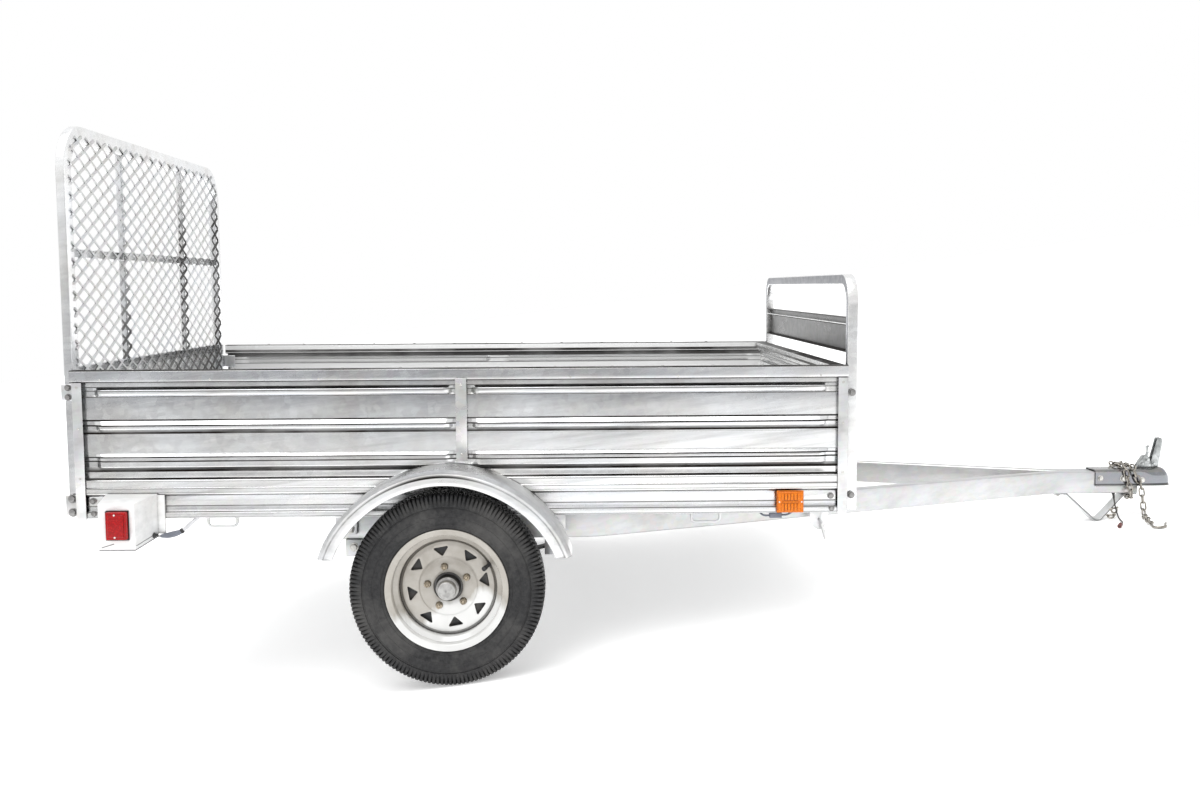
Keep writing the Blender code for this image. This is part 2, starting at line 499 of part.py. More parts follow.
plate("gate_mesh", gate, sheet, (GATE_X + GATE_T / 2 + 0.0009, 0, 0), (0, 1, 0), (0, 0, 1), 0.001)

# ---------------------------------------------------------------- safety chain and wiring lead
# Both hang from the tongue and lie on the ground, so they are given where they lie, from the origin.
LEVEL[origin] = Matrix()


def parked(points):
    """Where points of the level trailer are when it is parked."""
    return [chassis.matrix_basis @ Vector(p) for p in points]


def smooth(points, spacing):
    """Evenly spaced points on one smooth curve through the given ones."""
    points = [Vector(p) for p in points]
    ends = [2 * points[0] - points[1]] + points + [2 * points[-1] - points[-2]]
    ways = [(c - a) / ((b - a).length + (c - b).length) for a, b, c in zip(ends, ends[1:], ends[2:])]
    fine = [points[0]]
    for a, b, out, into in zip(points, points[1:], ways, ways[1:]):
        reach = (b - a).length / 3
        fine += geometry.interpolate_bezier(a, a + out * reach, b - into * reach, b, 33)[1:]
    gone = [0.0]
    for a, b in zip(fine, fine[1:]):
        gone.append(gone[-1] + (b - a).length)
    count, path, k = max(2, round(gone[-1] / spacing)), [], 0
    for i in range(count + 1):
        want = gone[-1] * i / count
        while k < len(gone) - 2 and gone[k + 1] < want:
            k += 1
        path.append(fine[k].lerp(fine[k + 1], (want - gone[k]) / (gone[k + 1] - gone[k])))
    return path


# the chain is bolted to the far side, passes round the coupler and hangs from its near side down to the ground
WRAP = [(2.233, 0.0534, 0.410), (2.230, 0.0534, 0.438), (2.229, 0.0510, 0.4550), (2.230, 0.0250, 0.4576), (2.231, 0, 0.4576),
        (2.233, -0.0250, 0.4576), (2.235, -0.0510, 0.4550), (2.238, -0.0536, 0.438), (2.247, -0.0536, 0.405),
        (2.256, -0.0536, 0.374), (2.260, -0.0470, 0.3560), (2.262, -0.0250, 0.3498), (2.262, 0, 0.3498),
        (2.262, 0.0250, 0.3498), (2.261, 0.0470, 0.3560), (2.259, 0.0534, 0.374), (2.257, 0.0534, 0.405),
        (2.256, 0.0534, 0.438), (2.256, 0.0510, 0.4550), (2.257, 0.0250, 0.4576), (2.258, 0, 0.4576),
        (2.260, -0.0250, 0.4576), (2.263, -0.0510, 0.4550), (2.268, -0.0536, 0.438), (2.279, -0.0542, 0.415),
        (2.289, -0.0546, 0.395)]
FALL = [(1.6110, -0.0550, 0.085), (1.6110, -0.0565, 0.055), (1.6095, -0.0600, 0.030), (1.6050, -0.0690, 0.0130),
        (1.6000, -0.0850, 0.0090), (1.5940, -0.1100, 0.0090), (1.5870, -0.1400, 0.0090), (1.5800, -0.1650, 0.0090)]
chain = rod("safety_chain", origin, smooth(parked(WRAP) + [Vector(p) for p in FALL], 0.0150), CHAIN_R, ZINC)
# its hook lies on the ground: a shank and a half turn back
HOOK_EYE, HOOK_WAY, HOOK_BEND, HOOK_SHANK = Vector((1.5800, -0.1650, 0.0050)), Vector((-0.25, -0.968, 0)).normalized(), 0.0195, 0.062
side_way = Vector((-HOOK_WAY.y, HOOK_WAY.x, 0))
bend = [(HOOK_SHANK + b, HOOK_BEND - a) for a, b in arc((0, 0), HOOK_BEND, 0, 180, 10)]
hook = rod("chain_hook", origin, [HOOK_EYE + HOOK_WAY * u + side_way * v for u, v in [(-0.004, 0), (0.025, 0)] + bend
                                  + [(HOOK_SHANK - 0.018, 2 * HOOK_BEND + 0.002), (HOOK_SHANK - 0.034, 2 * HOOK_BEND + 0.007)]],
           0.0045, ZINC)
combine(chain, [hook], "UNION")

LEAD = [(1.5227, -0.0310, 0.0914), (1.5232, -0.0314, 0.0700), (1.5240, -0.0335, 0.0480), (1.5245, -0.0400, 0.0260),
        (1.5240, -0.0530, 0.0095), (1.5225, -0.0710, 0.0032), (1.5190, -0.0900, 0.0030), (1.5130, -0.1080, 0.0032),
        (1.5050, -0.1240, 0.0050), (1.4970, -0.1370, 0.0075)]
lead = smooth(LEAD, 0.0120)
rod("wiring_lead", origin, lead, LEAD_R, BLACK)
end_way = (lead[-1] - lead[-2]).normalized()
end_way = Vector((end_way.x, end_way.y, 0)).normalized()
rod("lead_plug", origin, [lead[-1] + end_way * 0.0006, lead[-1] + end_way * 0.0430], 0.0070, BLACK, 3)
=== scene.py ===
import json
import math
import random

import bmesh
import bpy
from mathutils import Matrix, Vector, geometry

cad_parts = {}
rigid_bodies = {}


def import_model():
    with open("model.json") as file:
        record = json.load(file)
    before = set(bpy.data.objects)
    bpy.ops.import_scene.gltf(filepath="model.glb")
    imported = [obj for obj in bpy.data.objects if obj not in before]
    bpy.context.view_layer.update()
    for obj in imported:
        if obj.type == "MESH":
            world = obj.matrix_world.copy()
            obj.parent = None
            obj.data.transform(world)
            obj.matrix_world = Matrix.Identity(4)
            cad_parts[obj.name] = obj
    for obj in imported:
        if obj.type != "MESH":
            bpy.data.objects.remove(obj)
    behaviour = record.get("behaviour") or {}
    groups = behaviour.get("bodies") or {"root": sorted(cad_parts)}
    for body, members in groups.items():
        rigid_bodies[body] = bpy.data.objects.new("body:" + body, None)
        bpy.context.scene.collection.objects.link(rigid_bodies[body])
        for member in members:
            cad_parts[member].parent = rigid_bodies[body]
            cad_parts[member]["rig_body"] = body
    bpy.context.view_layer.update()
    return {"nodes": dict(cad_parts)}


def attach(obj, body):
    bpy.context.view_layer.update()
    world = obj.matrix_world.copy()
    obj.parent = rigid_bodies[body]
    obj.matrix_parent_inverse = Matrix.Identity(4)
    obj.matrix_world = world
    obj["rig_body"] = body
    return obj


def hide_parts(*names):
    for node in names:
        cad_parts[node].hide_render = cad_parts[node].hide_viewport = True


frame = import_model()
NODES = frame["nodes"]

# ------------------------------------------------------------------ the level trailer and its parked pitch
WHEEL_R, WHEEL_Y = 0.2665, 0.883
FOOT_X, FOOT_Z, FOOT_R = 2.156, 0.2915, 0.025
ORIGIN_SHIFT = -0.6776
PITCH = (math.asin((WHEEL_R - FOOT_R) / math.hypot(FOOT_X, FOOT_Z - WHEEL_R))
         + math.atan2(FOOT_Z - WHEEL_R, FOOT_X))
PARKED = (Matrix.Translation((ORIGIN_SHIFT, 0, WHEEL_R)) @ Matrix.Rotation(PITCH, 4, "Y")
          @ Matrix.Translation((0, 0, -WHEEL_R)))
SIDES = (("right", -1), ("left", 1))

for old in list(bpy.data.objects):
    if old.type in ("CAMERA", "LIGHT"):
        bpy.data.objects.remove(old, do_unlink=True)

# ------------------------------------------------------------------ camera
yaw, pitch, roll = math.radians(1.013), math.radians(5.113), math.radians(-0.352)
fwd = Vector((math.sin(yaw), math.cos(yaw), 0))
right = Vector((math.cos(yaw), -math.sin(yaw), 0))
up = Vector((0, 0, 1))
f2 = fwd * math.cos(pitch) - up * math.sin(pitch)
u2 = up * math.cos(pitch) + fwd * math.sin(pitch)
r3 = right * math.cos(roll) + u2 * math.sin(roll)
u3 = u2 * math.cos(roll) - right * math.sin(roll)
cam_data = bpy.data.cameras.new("camera")
cam_data.lens, cam_data.sensor_width = 37.81, 36.0
cam_data.clip_start, cam_data.clip_end = 0.05, 200
cam = bpy.data.objects.new("camera", cam_data)
look = Matrix((r3, u3, -f2)).transposed().to_4x4()
look.translation = Vector((0.3595, -4.303, 1.0829))
cam.matrix_world = PARKED @ look
bpy.context.scene.collection.objects.link(cam)
bpy.context.scene.camera = cam


# ------------------------------------------------------------------ materials
class Net:
    """A material's node tree, with short calls for the nodes used here."""

    def __init__(self, name):
        self.mat = bpy.data.materials.new(name)
        self.mat.use_nodes = True
        self.tree = self.mat.node_tree
        self.bsdf = self.tree.nodes["Principled BSDF"]
        self.coords = self.tree.nodes.new("ShaderNodeTexCoord").outputs["Object"]

    def set(self, **values):
        for key, value in values.items():
            self.bsdf.inputs[key.replace("_", " ")].default_value = value

    def link(self, a, b):
        self.tree.links.new(a, b)

    def scaled(self, scale, source=None):
        node = self.tree.nodes.new("ShaderNodeMapping")
        node.inputs["Scale"].default_value = scale
        self.link(source or self.coords, node.inputs["Vector"])
        return node.outputs["Vector"]

    def noise(self, scale, detail=3.0, rough=0.5, source=None, distortion=0.0):
        node = self.tree.nodes.new("ShaderNodeTexNoise")
        node.inputs["Scale"].default_value = scale
        node.inputs["Detail"].default_value = detail
        node.inputs["Roughness"].default_value = rough
        node.inputs["Distortion"].default_value = distortion
        self.link(source or self.coords, node.inputs["Vector"])
        return node.outputs["Fac"]

    def cells(self, scale, source=None, feature="F1", output="Color"):
        node = self.tree.nodes.new("ShaderNodeTexVoronoi")
        node.feature = feature
        node.inputs["Scale"].default_value = scale
        self.link(source or self.coords, node.inputs["Vector"])
        return node.outputs[output]

    def ramp(self, fac, stops):
        node = self.tree.nodes.new("ShaderNodeValToRGB")
        node.color_ramp.elements.remove(node.color_ramp.elements[1])
        for i, (at, value) in enumerate(stops):
            colour = (value, value, value, 1) if isinstance(value, (int, float)) else (*value, 1)
            e = node.color_ramp.elements[0] if i == 0 else node.color_ramp.elements.new(at)
            e.position, e.color = at, colour
        self.link(fac, node.inputs["Fac"])
        return node.outputs["Color"]

    def span(self, fac, a, b, lo, hi):
        node = self.tree.nodes.new("ShaderNodeMapRange")
        for key, value in (("From Min", a), ("From Max", b), ("To Min", lo), ("To Max", hi)):
            node.inputs[key].default_value = value
        self.link(fac, node.inputs["Value"])
        return node.outputs["Result"]

    def math(self, kind, a, b):
        node = self.tree.nodes.new("ShaderNodeMath")
        node.operation = kind
        for slot, value in ((0, a), (1, b)):
            if isinstance(value, (int, float)):
                node.inputs[slot].default_value = value
            else:
                self.link(value, node.inputs[slot])
        return node.outputs[0]

    def mix(self, fac, a, b, kind="MIX"):
        node = self.tree.nodes.new("ShaderNodeMix")
        node.data_type, node.blend_type = "RGBA", kind
        for key, value in ((0, fac), (6, a), (7, b)):
            if isinstance(value, (int, float)) and key == 0:
                node.inputs[key].default_value = value
            elif isinstance(value, (tuple, list)):
                node.inputs[key].default_value = (*value, 1)
            else:
                self.link(value, node.inputs[key])
        return node.outputs[2]

    def bump(self, height, strength, distance):
        node = self.tree.nodes.new("ShaderNodeBump")
        node.inputs["Strength"].default_value = strength
        node.inputs["Distance"].default_value = distance
        self.link(height, node.inputs["Height"])
        self.link(node.outputs["Normal"], self.bsdf.inputs["Normal"])

    def to(self, socket, key):
        self.link(socket, self.bsdf.inputs[key])


def galvanised(name, light=0.86, rough=0.26, stain=0.35, along=(1, 1, 1), bump=0.06, dirt_and_shade=0.75, metal=1.0, inside=0.0):
    """Hot-dip zinc: faint spangle and drawn-out soft stains, with painted shade held in corners by AO, and painted
    shade and reflection in bands and along pressed lines.
    """
    n = Net(name)
    spangle = n.cells(60)
    patches = n.noise(3.0, 3, 0.55)
    streaks = n.noise(6.0, 3, 0.5, n.scaled(along))
    tone = n.ramp(patches, [(0.30, light - 0.08), (0.50, light), (0.72, min(0.98, light + 0.08))])
    tone = n.mix(0.05, tone, spangle, "OVERLAY")
    dark = n.math("MULTIPLY", n.ramp(streaks, [(0.26, 1.0), (0.44, 0.20), (0.54, 0.0)]), stain)
    tone = n.mix(dark, tone, (0.40, 0.395, 0.385))
    tint = n.ramp(n.noise(6, 2), [(0.35, (1.0, 0.993, 0.98)), (0.65, (0.965, 0.982, 1.0))])
    tone = n.mix(1.0, tone, tint, "MULTIPLY")
    drawn = n.noise(34, 4, 0.68, n.scaled((0.16, 1.0, 1.5)))
    tone = n.mix(0.22, tone, n.ramp(drawn, [(0.30, 0.45), (0.62, 1.0)]), "MULTIPLY")
    # the shade attribute mixes in a bluish grey: painted shade and painted reflection gradients
    shade = n.tree.nodes.new("ShaderNodeAttribute")
    shade.attribute_name = "shade"
    tone = n.mix(n.math("MULTIPLY", shade.outputs["Fac"], n.span(drawn, 0.34, 0.66, 1.0, 0.66)), tone, (0.250, 0.262, 0.300))
    inner = None
    if inside:       # faces that look into the bed are painted paler and less metallic, painted light that keeps the inside bright
        way = n.tree.nodes.new("ShaderNodeNewGeometry")
        facing_in = n.tree.nodes.new("ShaderNodeVectorMath")
        facing_in.operation = "DOT_PRODUCT"
        n.link(way.outputs["True Normal"], facing_in.inputs[0])
        n.link(n.scaled((1, 1, 0)), facing_in.inputs[1])
        inner = n.span(facing_in.outputs["Value"], -0.30, -0.60, 0.0, inside)
        tone = n.mix(inner, tone, (0.95, 0.95, 0.945))
    # AO darkens corners, seams and places where parts touch: painted shade
    if dirt_and_shade:
        near = n.tree.nodes.new("ShaderNodeAmbientOcclusion")
        near.samples = 6
        near.inputs["Distance"].default_value = 0.014
        corner_shade = n.math("MULTIPLY", n.ramp(near.outputs["AO"], [(0.30, 1.0), (0.70, 0.10), (0.86, 0.0)]), dirt_and_shade)
        tone = n.mix(corner_shade, tone, (0.055, 0.050, 0.046))
    # the line attribute paints near-black lines, faded by noise: painted shade and painted reflection along ribs, folds
    # and edges
    line = n.tree.nodes.new("ShaderNodeAttribute")
    line.attribute_name = "line"
    painted_line_fade = n.ramp(n.noise(3.2, 3, 0.55, n.scaled((1.0, 1.0, 0.4))), [(0.34, 0.72), (0.54, 1.0)])
    tone = n.mix(n.math("MULTIPLY", line.outputs["Fac"], painted_line_fade), tone, (0.020, 0.017, 0.015))
    n.to(tone, "Base Color")
    r = n.span(spangle, 0, 1, rough - 0.03, rough + 0.04)
    r = n.math("ADD", r, n.span(patches, 0.3, 0.7, -0.04, 0.05))
    r = n.math("ADD", r, n.math("MULTIPLY", dark, 0.20))
    r = n.math("ADD", r, n.math("MULTIPLY", line.outputs["Fac"], 0.35))
    n.to(r, "Roughness")
    if inner is None:
        n.set(Metallic=metal)
    else:
        n.to(n.math("SUBTRACT", metal, inner), "Metallic")
    fine = n.math("ADD", n.math("MULTIPLY", n.noise(190, 2), 0.30), n.math("MULTIPLY", n.noise(24, 2), 1.0))
    n.bump(fine, bump, 0.0014)
    return n.mat


def zinc(name, colour, rough=0.32, stain=0.4):
    n = Net(name)
    patches = n.noise(60, 4, 0.6)
    deep = tuple(c * 0.42 for c in colour)
    # AO darkens it in corners and recesses: painted shade
    near = n.tree.nodes.new("ShaderNodeAmbientOcclusion")
    near.samples = 6
    near.inputs["Distance"].default_value = 0.006
    tone = n.mix(n.ramp(patches, [(0.36, stain), (0.56, 0.0)]), colour, deep)
    n.to(n.mix(n.ramp(near.outputs["AO"], [(0.30, 0.85), (0.75, 0.0)]), tone, (0.035, 0.030, 0.026)), "Base Color")
    n.to(n.span(patches, 0.3, 0.7, rough + 0.16, rough - 0.04), "Roughness")
    n.set(Metallic=1.0)
    n.bump(n.noise(420, 2), 0.15, 0.0006)
    return n.mat


def paint(name, colour, rough, coat=0.0, dirt_and_shade=0.25, dirt_colour=(0.30, 0.28, 0.25)):
    n = Net(name)
    patches = n.noise(18, 4, 0.6)
    n.to(n.mix(n.ramp(patches, [(0.30, dirt_and_shade), (0.52, 0.0)]), colour, dirt_colour), "Base Color")
    n.to(n.span(n.noise(40, 3), 0.3, 0.7, rough - 0.04, rough + 0.08), "Roughness")
    n.set(Coat_Weight=coat, Coat_Roughness=0.06)
    n.bump(n.noise(180, 2), 0.06, 0.0008)
    return n.mat


def rim_paint(name):
    """Gloss off-white paint with a warm grey painted shadow over the upper part, its edge wavy and run, clean lower
    down, and painted shade from AO in the recesses.
    """
    n = Net(name)
    parts = n.tree.nodes.new("ShaderNodeSeparateXYZ")
    n.link(n.coords, parts.inputs[0])
    wave = n.math("MULTIPLY", n.math("SUBTRACT", n.noise(11, 3, 0.5, n.scaled((1, 1, 0.45))), 0.5), 0.22)
    runs = n.math("MULTIPLY", n.math("SUBTRACT", n.noise(60, 2, 0.5, n.scaled((1, 1, 0.12))), 0.5), 0.035)
    height = n.math("ADD", n.math("ADD", parts.outputs["Z"], wave), runs)
    # the painted shadow: warm grey over the upper part, its edge waved and run by noise
    painted_shadow = n.span(height, 0.205, 0.232, 0.0, 1.0)
    grey = n.ramp(n.noise(20, 4, 0.6), [(0.30, (0.36, 0.335, 0.295)), (0.70, (0.46, 0.435, 0.395))])
    clean = n.ramp(n.noise(9, 3), [(0.35, (0.70, 0.70, 0.69)), (0.65, (0.80, 0.80, 0.79))])
    tone = n.mix(painted_shadow, clean, grey)
    # AO darkens recesses: painted shade
    near = n.tree.nodes.new("ShaderNodeAmbientOcclusion")
    near.samples = 6
    near.inputs["Distance"].default_value = 0.010
    n.to(n.mix(n.ramp(near.outputs["AO"], [(0.35, 0.90), (0.62, 0.15), (0.80, 0.0)]), tone, (0.05, 0.044, 0.038)), "Base Color")
    n.to(n.span(painted_shadow, 0, 1, 0.16, 0.24), "Roughness")
    n.set(Metallic=0.15, Coat_Weight=0.8, Coat_Roughness=0.05)
    n.bump(n.noise(120, 2), 0.05, 0.0008)
    return n.mat


def rubber(name):
    n = Net(name)
    dust = n.noise(6, 5, 0.70)
    fine = n.noise(95, 4, 0.70)
    base = n.ramp(fine, [(0.34, (0.006, 0.006, 0.007)), (0.66, (0.030, 0.030, 0.031))])
    base = n.mix(n.ramp(dust, [(0.46, 0.0), (0.66, 0.55)]), base, (0.095, 0.092, 0.088))
    # AO darkens grooves and recesses: painted shade
    near = n.tree.nodes.new("ShaderNodeAmbientOcclusion")
    near.samples = 6
    near.inputs["Distance"].default_value = 0.012
    n.to(n.mix(n.ramp(near.outputs["AO"], [(0.35, 0.9), (0.80, 0.0)]), base, (0.003, 0.003, 0.003)), "Base Color")
    n.to(n.span(fine, 0.3, 0.7, 0.34, 0.62), "Roughness")
    n.bsdf.inputs["Specular IOR Level"].default_value = 0.34
    n.bump(n.math("ADD", n.math("MULTIPLY", n.noise(380, 3), 0.4), n.noise(48, 4, 0.7)), 0.45, 0.0016)
    return n.mat


def lens(name, colour, deep):
    """Ribbed plastic lens, its colour deepening over a fine cell pattern, with painted shade from AO in its recesses.
    """
    n = Net(name)
    cell = n.cells(240, feature="F1", output="Distance")
    n.set(Roughness=0.30, Coat_Weight=0.12, Coat_Roughness=0.05)
    n.bsdf.inputs["Specular IOR Level"].default_value = 0.22
    near = n.tree.nodes.new("ShaderNodeAmbientOcclusion")
    near.samples = 6
    near.inputs["Distance"].default_value = 0.004
    recess_shade = n.ramp(near.outputs["AO"], [(0.45, 0.85), (0.85, 0.0)])
    tone = n.mix(n.ramp(cell, [(0.1, 0.0), (0.6, 0.50)]), colour, deep)
    n.to(n.mix(recess_shade, tone, tuple(c * 0.35 for c in deep)), "Base Color")
    n.bump(cell, 0.30, 0.0012)
    return n.mat


def plastic(name, colour, rough=0.5):
    n = Net(name)
    fine = n.noise(300, 3)
    n.to(n.mix(n.ramp(n.noise(30, 4), [(0.4, 0.0), (0.7, 0.5)]), colour, tuple(min(1, c * 1.9 + 0.01) for c in colour)), "Base Color")
    n.to(n.span(fine, 0.3, 0.7, rough - 0.08, rough + 0.1), "Roughness")
    n.bump(fine, 0.12, 0.0005)
    return n.mat


M = {
    "sheet": galvanised("galvanised_sheet", 0.86, 0.17, 0.50, (0.35, 5, 7), inside=0.95),
    "rail": galvanised("galvanised_rail", 0.78, 0.22, 0.60, (0.4, 6, 9), inside=0.95),
    "tube": galvanised("galvanised_tube", 0.90, 0.22, 0.30, (2, 2, 2)),
    "gate_tube": galvanised("galvanised_gate_tube", 0.90, 0.22, 0.30, (2, 2, 2), 0.06, 0.10),
    "chassis": galvanised("galvanised_chassis", 0.60, 0.36, 0.30, (1, 3, 3)),
    "fender": galvanised("galvanised_fender", 0.88, 0.30, 0.40, (3, 1, 3)),
    "bracket": galvanised("galvanised_bracket", 0.72, 0.30, 0.45, (3, 3, 3)),
    "lamp_plate": galvanised("galvanised_lamp_plate", 0.90, 0.46, 0.20, (3, 3, 3), 0.05, 0.75, 0.30),
    # the gate's lower sheet: a paler, nearly non-metal copy of the zinc, painted light that keeps it bright in the
    # shade of the bed
    "panel": galvanised("galvanised_gate_panel_painted_light", 0.96, 0.46, 0.15, (0.35, 5, 7), 0.05, 0.2, 0.05),
    "edge": zinc("dark_edge", (0.20, 0.20, 0.205), 0.40, 0.6),
    "stop": galvanised("galvanised_stop", 0.090, 0.30, 0.55, (5, 1, 5)),
    "mesh": galvanised("galvanised_strand", 0.66, 0.38, 0.20, (3, 3, 3), 0.04, 0.0),
    "floor": galvanised("galvanised_floor", 0.80, 0.40, 0.40, (0.5, 4, 4)),
    "coupler": galvanised("coupler_zinc", 0.31, 0.20, 0.55, (4, 4, 4), 0.05, 0.8),
    "latch": zinc("latch_zinc", (0.50, 0.52, 0.52), 0.24, 0.75),
    "bolt": zinc("bolt_zinc", (0.66, 0.65, 0.62), 0.28, 0.55),
    "lug": zinc("lug_zinc", (0.34, 0.29, 0.22), 0.20, 0.60),
    "chain": zinc("chain_zinc", (0.40, 0.375, 0.335), 0.20, 0.95),
    "hub": zinc("hub_grey", (0.46, 0.455, 0.445), 0.36, 0.45),
    "post_bolt": zinc("post_bolt", (0.34, 0.335, 0.33), 0.30, 0.6),
    # near-black zinc for the hub barrel: painted shade for the dark gap round the cap
    "dark_hub_painted_shade": zinc("dark_hub_painted_shade", (0.12, 0.118, 0.115), 0.38, 0.5),
    "spring": paint("spring_black", (0.035, 0.035, 0.037), 0.42, 0.0, 0.6, (0.16, 0.14, 0.12)),
    "rim": rim_paint("wheel_paint"),
    "rubber": rubber("tyre_rubber"),
    "red": lens("red_lens", (0.52, 0.005, 0.007), (0.085, 0.001, 0.002)),
    "amber": lens("amber_lens", (0.92, 0.26, 0.014), (0.42, 0.06, 0.004)),
    "black": plastic("black_plastic", (0.022, 0.022, 0.023), 0.5),
    "grey": plastic("grey_plastic", (0.135, 0.145, 0.175), 0.5),
    "sleeve": plastic("sleeve_plastic", (0.60, 0.60, 0.62), 0.35),
    "white": plastic("white_plastic", (0.72, 0.72, 0.70), 0.4),
    "jacket": plastic("lead_jacket", (0.055, 0.050, 0.048), 0.5),
    "plug": plastic("plug_brown", (0.125, 0.038, 0.032), 0.42),
}


# ------------------------------------------------------------------ making pieces
def finish_mesh(data, smooth):
    data.update()
    if smooth is None:
        return
    data.shade_smooth()
    if smooth < 180:
        data.set_sharp_from_angle(angle=math.radians(smooth))


def piece(name, body, mat, bm=None, smooth=35, level=True, node=None, recalc=False):
    """Puts a bmesh into the scene as a piece that rides on a body. Level shapes are pitched as the trailer parks."""
    if recalc:
        bmesh.ops.recalc_face_normals(bm, faces=bm.faces)
    data = bpy.data.meshes.new(name)
    bm.to_mesh(data)
    bm.free()
    if level:
        data.transform(PARKED)
    finish_mesh(data, smooth)
    obj = bpy.data.objects.new(name, data)
    bpy.context.scene.collection.objects.link(obj)
    data.materials.append(M[mat])
    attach(obj, body)
    if node:
        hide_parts(*([node] if isinstance(node, str) else node))
    return obj


def grid(bm, rows, ring=False, loop=False, caps=False):
    """Faces between rows of points. ring closes each row, loop joins the last row to the first."""
    made = [[bm.verts.new(p) for p in row] for row in rows]
    count = len(made[0])
    rows_n = len(made)
    for i in range(rows_n if loop else rows_n - 1):
        a, b = made[i], made[(i + 1) % rows_n]
        for j in range(count if ring else count - 1):
            k = (j + 1) % count
            bm.faces.new((a[j], a[k], b[k], b[j]))
    if caps and not loop:
        bm.faces.new(made[0][::-1])
        bm.faces.new(made[-1])
    return made


def rounded(points, radius, steps=6):
    points = [(Vector(p[:3]), p[3] if len(p) > 3 else radius) for p in points]
    path = [points[0][0]]
    for (a, _), (b, r), (c, _) in zip(points, points[1:], points[2:]):
        into, out = (b - a).normalized(), (c - b).normalized()
        turn = into.angle(out)
        if turn < 1e-3 or r <= 0:
            path.append(b)
            continue
        reach = r * math.tan(turn / 2)
        start, side = b - into * reach, (out - into * into.dot(out)).normalized()
        centre = start + side * r
        for k in range(steps + 1):
            t = turn * k / steps
            path.append(centre - side * r * math.cos(t) + into * r * math.sin(t))
    path.append(points[-1][0])
    return path


def round_line(points, radius, steps=3):
    return [(p.x, p.y) for p in rounded([(a, b, 0) for a, b in points], radius, steps)]


def transport(points, closed=False):
    """Frames along a path that twist as little as they can."""
    points = [Vector(p) for p in points]
    n = len(points)
    ways = []
    for i in range(n):
        a = points[(i - 1) % n] if closed or i else points[0]
        b = points[(i + 1) % n] if closed or i < n - 1 else points[-1]
        ways.append((b - a).normalized())
    side = ways[0].orthogonal().normalized()
    made = []
    for p, way in zip(points, ways):
        side = (side - way * side.dot(way)).normalized()
        made.append((p, side, way.cross(side)))
    if closed:   # spread the leftover twist
        first = made[0][1]
        end = (made[-1][1] - ways[0] * made[-1][1].dot(ways[0])).normalized()
        twist = math.atan2(end.cross(first).dot(ways[0]), end.dot(first))
        made = [(p, s * math.cos(twist * i / n) + t * math.sin(twist * i / n),
                 t * math.cos(twist * i / n) - s * math.sin(twist * i / n)) for i, (p, s, t) in enumerate(made)]
    return made


def wire(bm, points, radius, sides=10, closed=False, round_end=True):
    """A round bar along a path. radius may be a list, one for each point."""
    rows = []
    made = transport(points, closed)
    radii = radius if isinstance(radius, (list, tuple)) else [radius] * len(points)
    for (p, s, t), r in zip(made, radii):
        rows.append([p + (s * math.cos(2 * math.pi * k / sides) + t * math.sin(2 * math.pi * k / sides)) * r for k in range(sides)])
    if not closed and round_end:
        for at, sign in ((0, -1), (-1, 1)):
            p, s, t = made[at]
            way = s.cross(t) * sign
            r = radii[at]
            row = [p + way * r * 0.35 + (s * math.cos(2 * math.pi * k / sides) + t * math.sin(2 * math.pi * k / sides)) * r * 0.72 for k in range(sides)]
            rows = [row] + rows if at == 0 else rows + [row]
    grid(bm, rows, ring=True, loop=closed, caps=not closed)


def bar(bm, points, width, height, up_way, corner=0.003, steps=2, ring=False):
    """A solid bar of rounded rectangular section, width to the right of the way and height along up."""
    up_way = Vector(up_way).normalized()
    w, h = width / 2, height / 2
    section = []
    for cx, cy, a0 in ((w - corner, h - corner, 0), (-w + corner, h - corner, 90), (-w + corner, -h + corner, 180), (w - corner, -h + corner, 270)):
        for k in range(steps + 1):
            a = math.radians(a0 + 90 * k / steps)
            section.append((cx + corner * math.cos(a), cy + corner * math.sin(a)))
    points = [Vector(p[:3]) for p in points]
    n = len(points)
    rows = []
    for i, p in enumerate(points):
        before = (p - points[i - 1]).normalized() if (i or ring) else (points[1] - p).normalized()
        after = (points[(i + 1) % n] - p).normalized() if (i < n - 1 or ring) else before
        way = (before + after).normalized()
        side = way.cross(up_way) / max(0.3, way.dot(before))
        rows.append([p + side * a + up_way * b for a, b in section])
    grid(bm, rows, ring=True, loop=ring, caps=not ring)


def revolve(bm, profile, steps, centre=None, a0=0.0, a1=360.0, s=-1, closed=True):
    """(radius, distance outboard) spun about a wheel's axle."""
    full = abs(a1 - a0) >= 360
    rows = []
    for k in range(steps if full else steps + 1):
        a = math.radians(a0 + (a1 - a0) * k / steps)
        rows.append([Vector((r * math.cos(a), s * (WHEEL_Y + y), WHEEL_R + r * math.sin(a))) for r, y in profile])
    made = [[bm.verts.new(p) for p in row] for row in rows]
    n, m = len(made), len(profile)
    for i in range(n if full else n - 1):
        a, b = made[i], made[(i + 1) % n]
        for j in range(m if closed else m - 1):
            k = (j + 1) % m
            bm.faces.new((a[j], a[k], b[k], b[j]))
    return made


def box(bm, x, y, z, bevel=0.0, segments=2):
    lo, hi = Vector((min(x), min(y), min(z))), Vector((max(x), max(y), max(z)))
    made = bmesh.ops.create_cube(bm, size=1, matrix=Matrix.Translation((lo + hi) / 2) @ Matrix.Diagonal((*(hi - lo), 1)))
    if bevel:
        edges = list({e for v in made["verts"] for e in v.link_edges})
        bmesh.ops.bevel(bm, geom=edges, offset=bevel, segments=segments, affect="EDGES", profile=0.5, clamp_overlap=True)


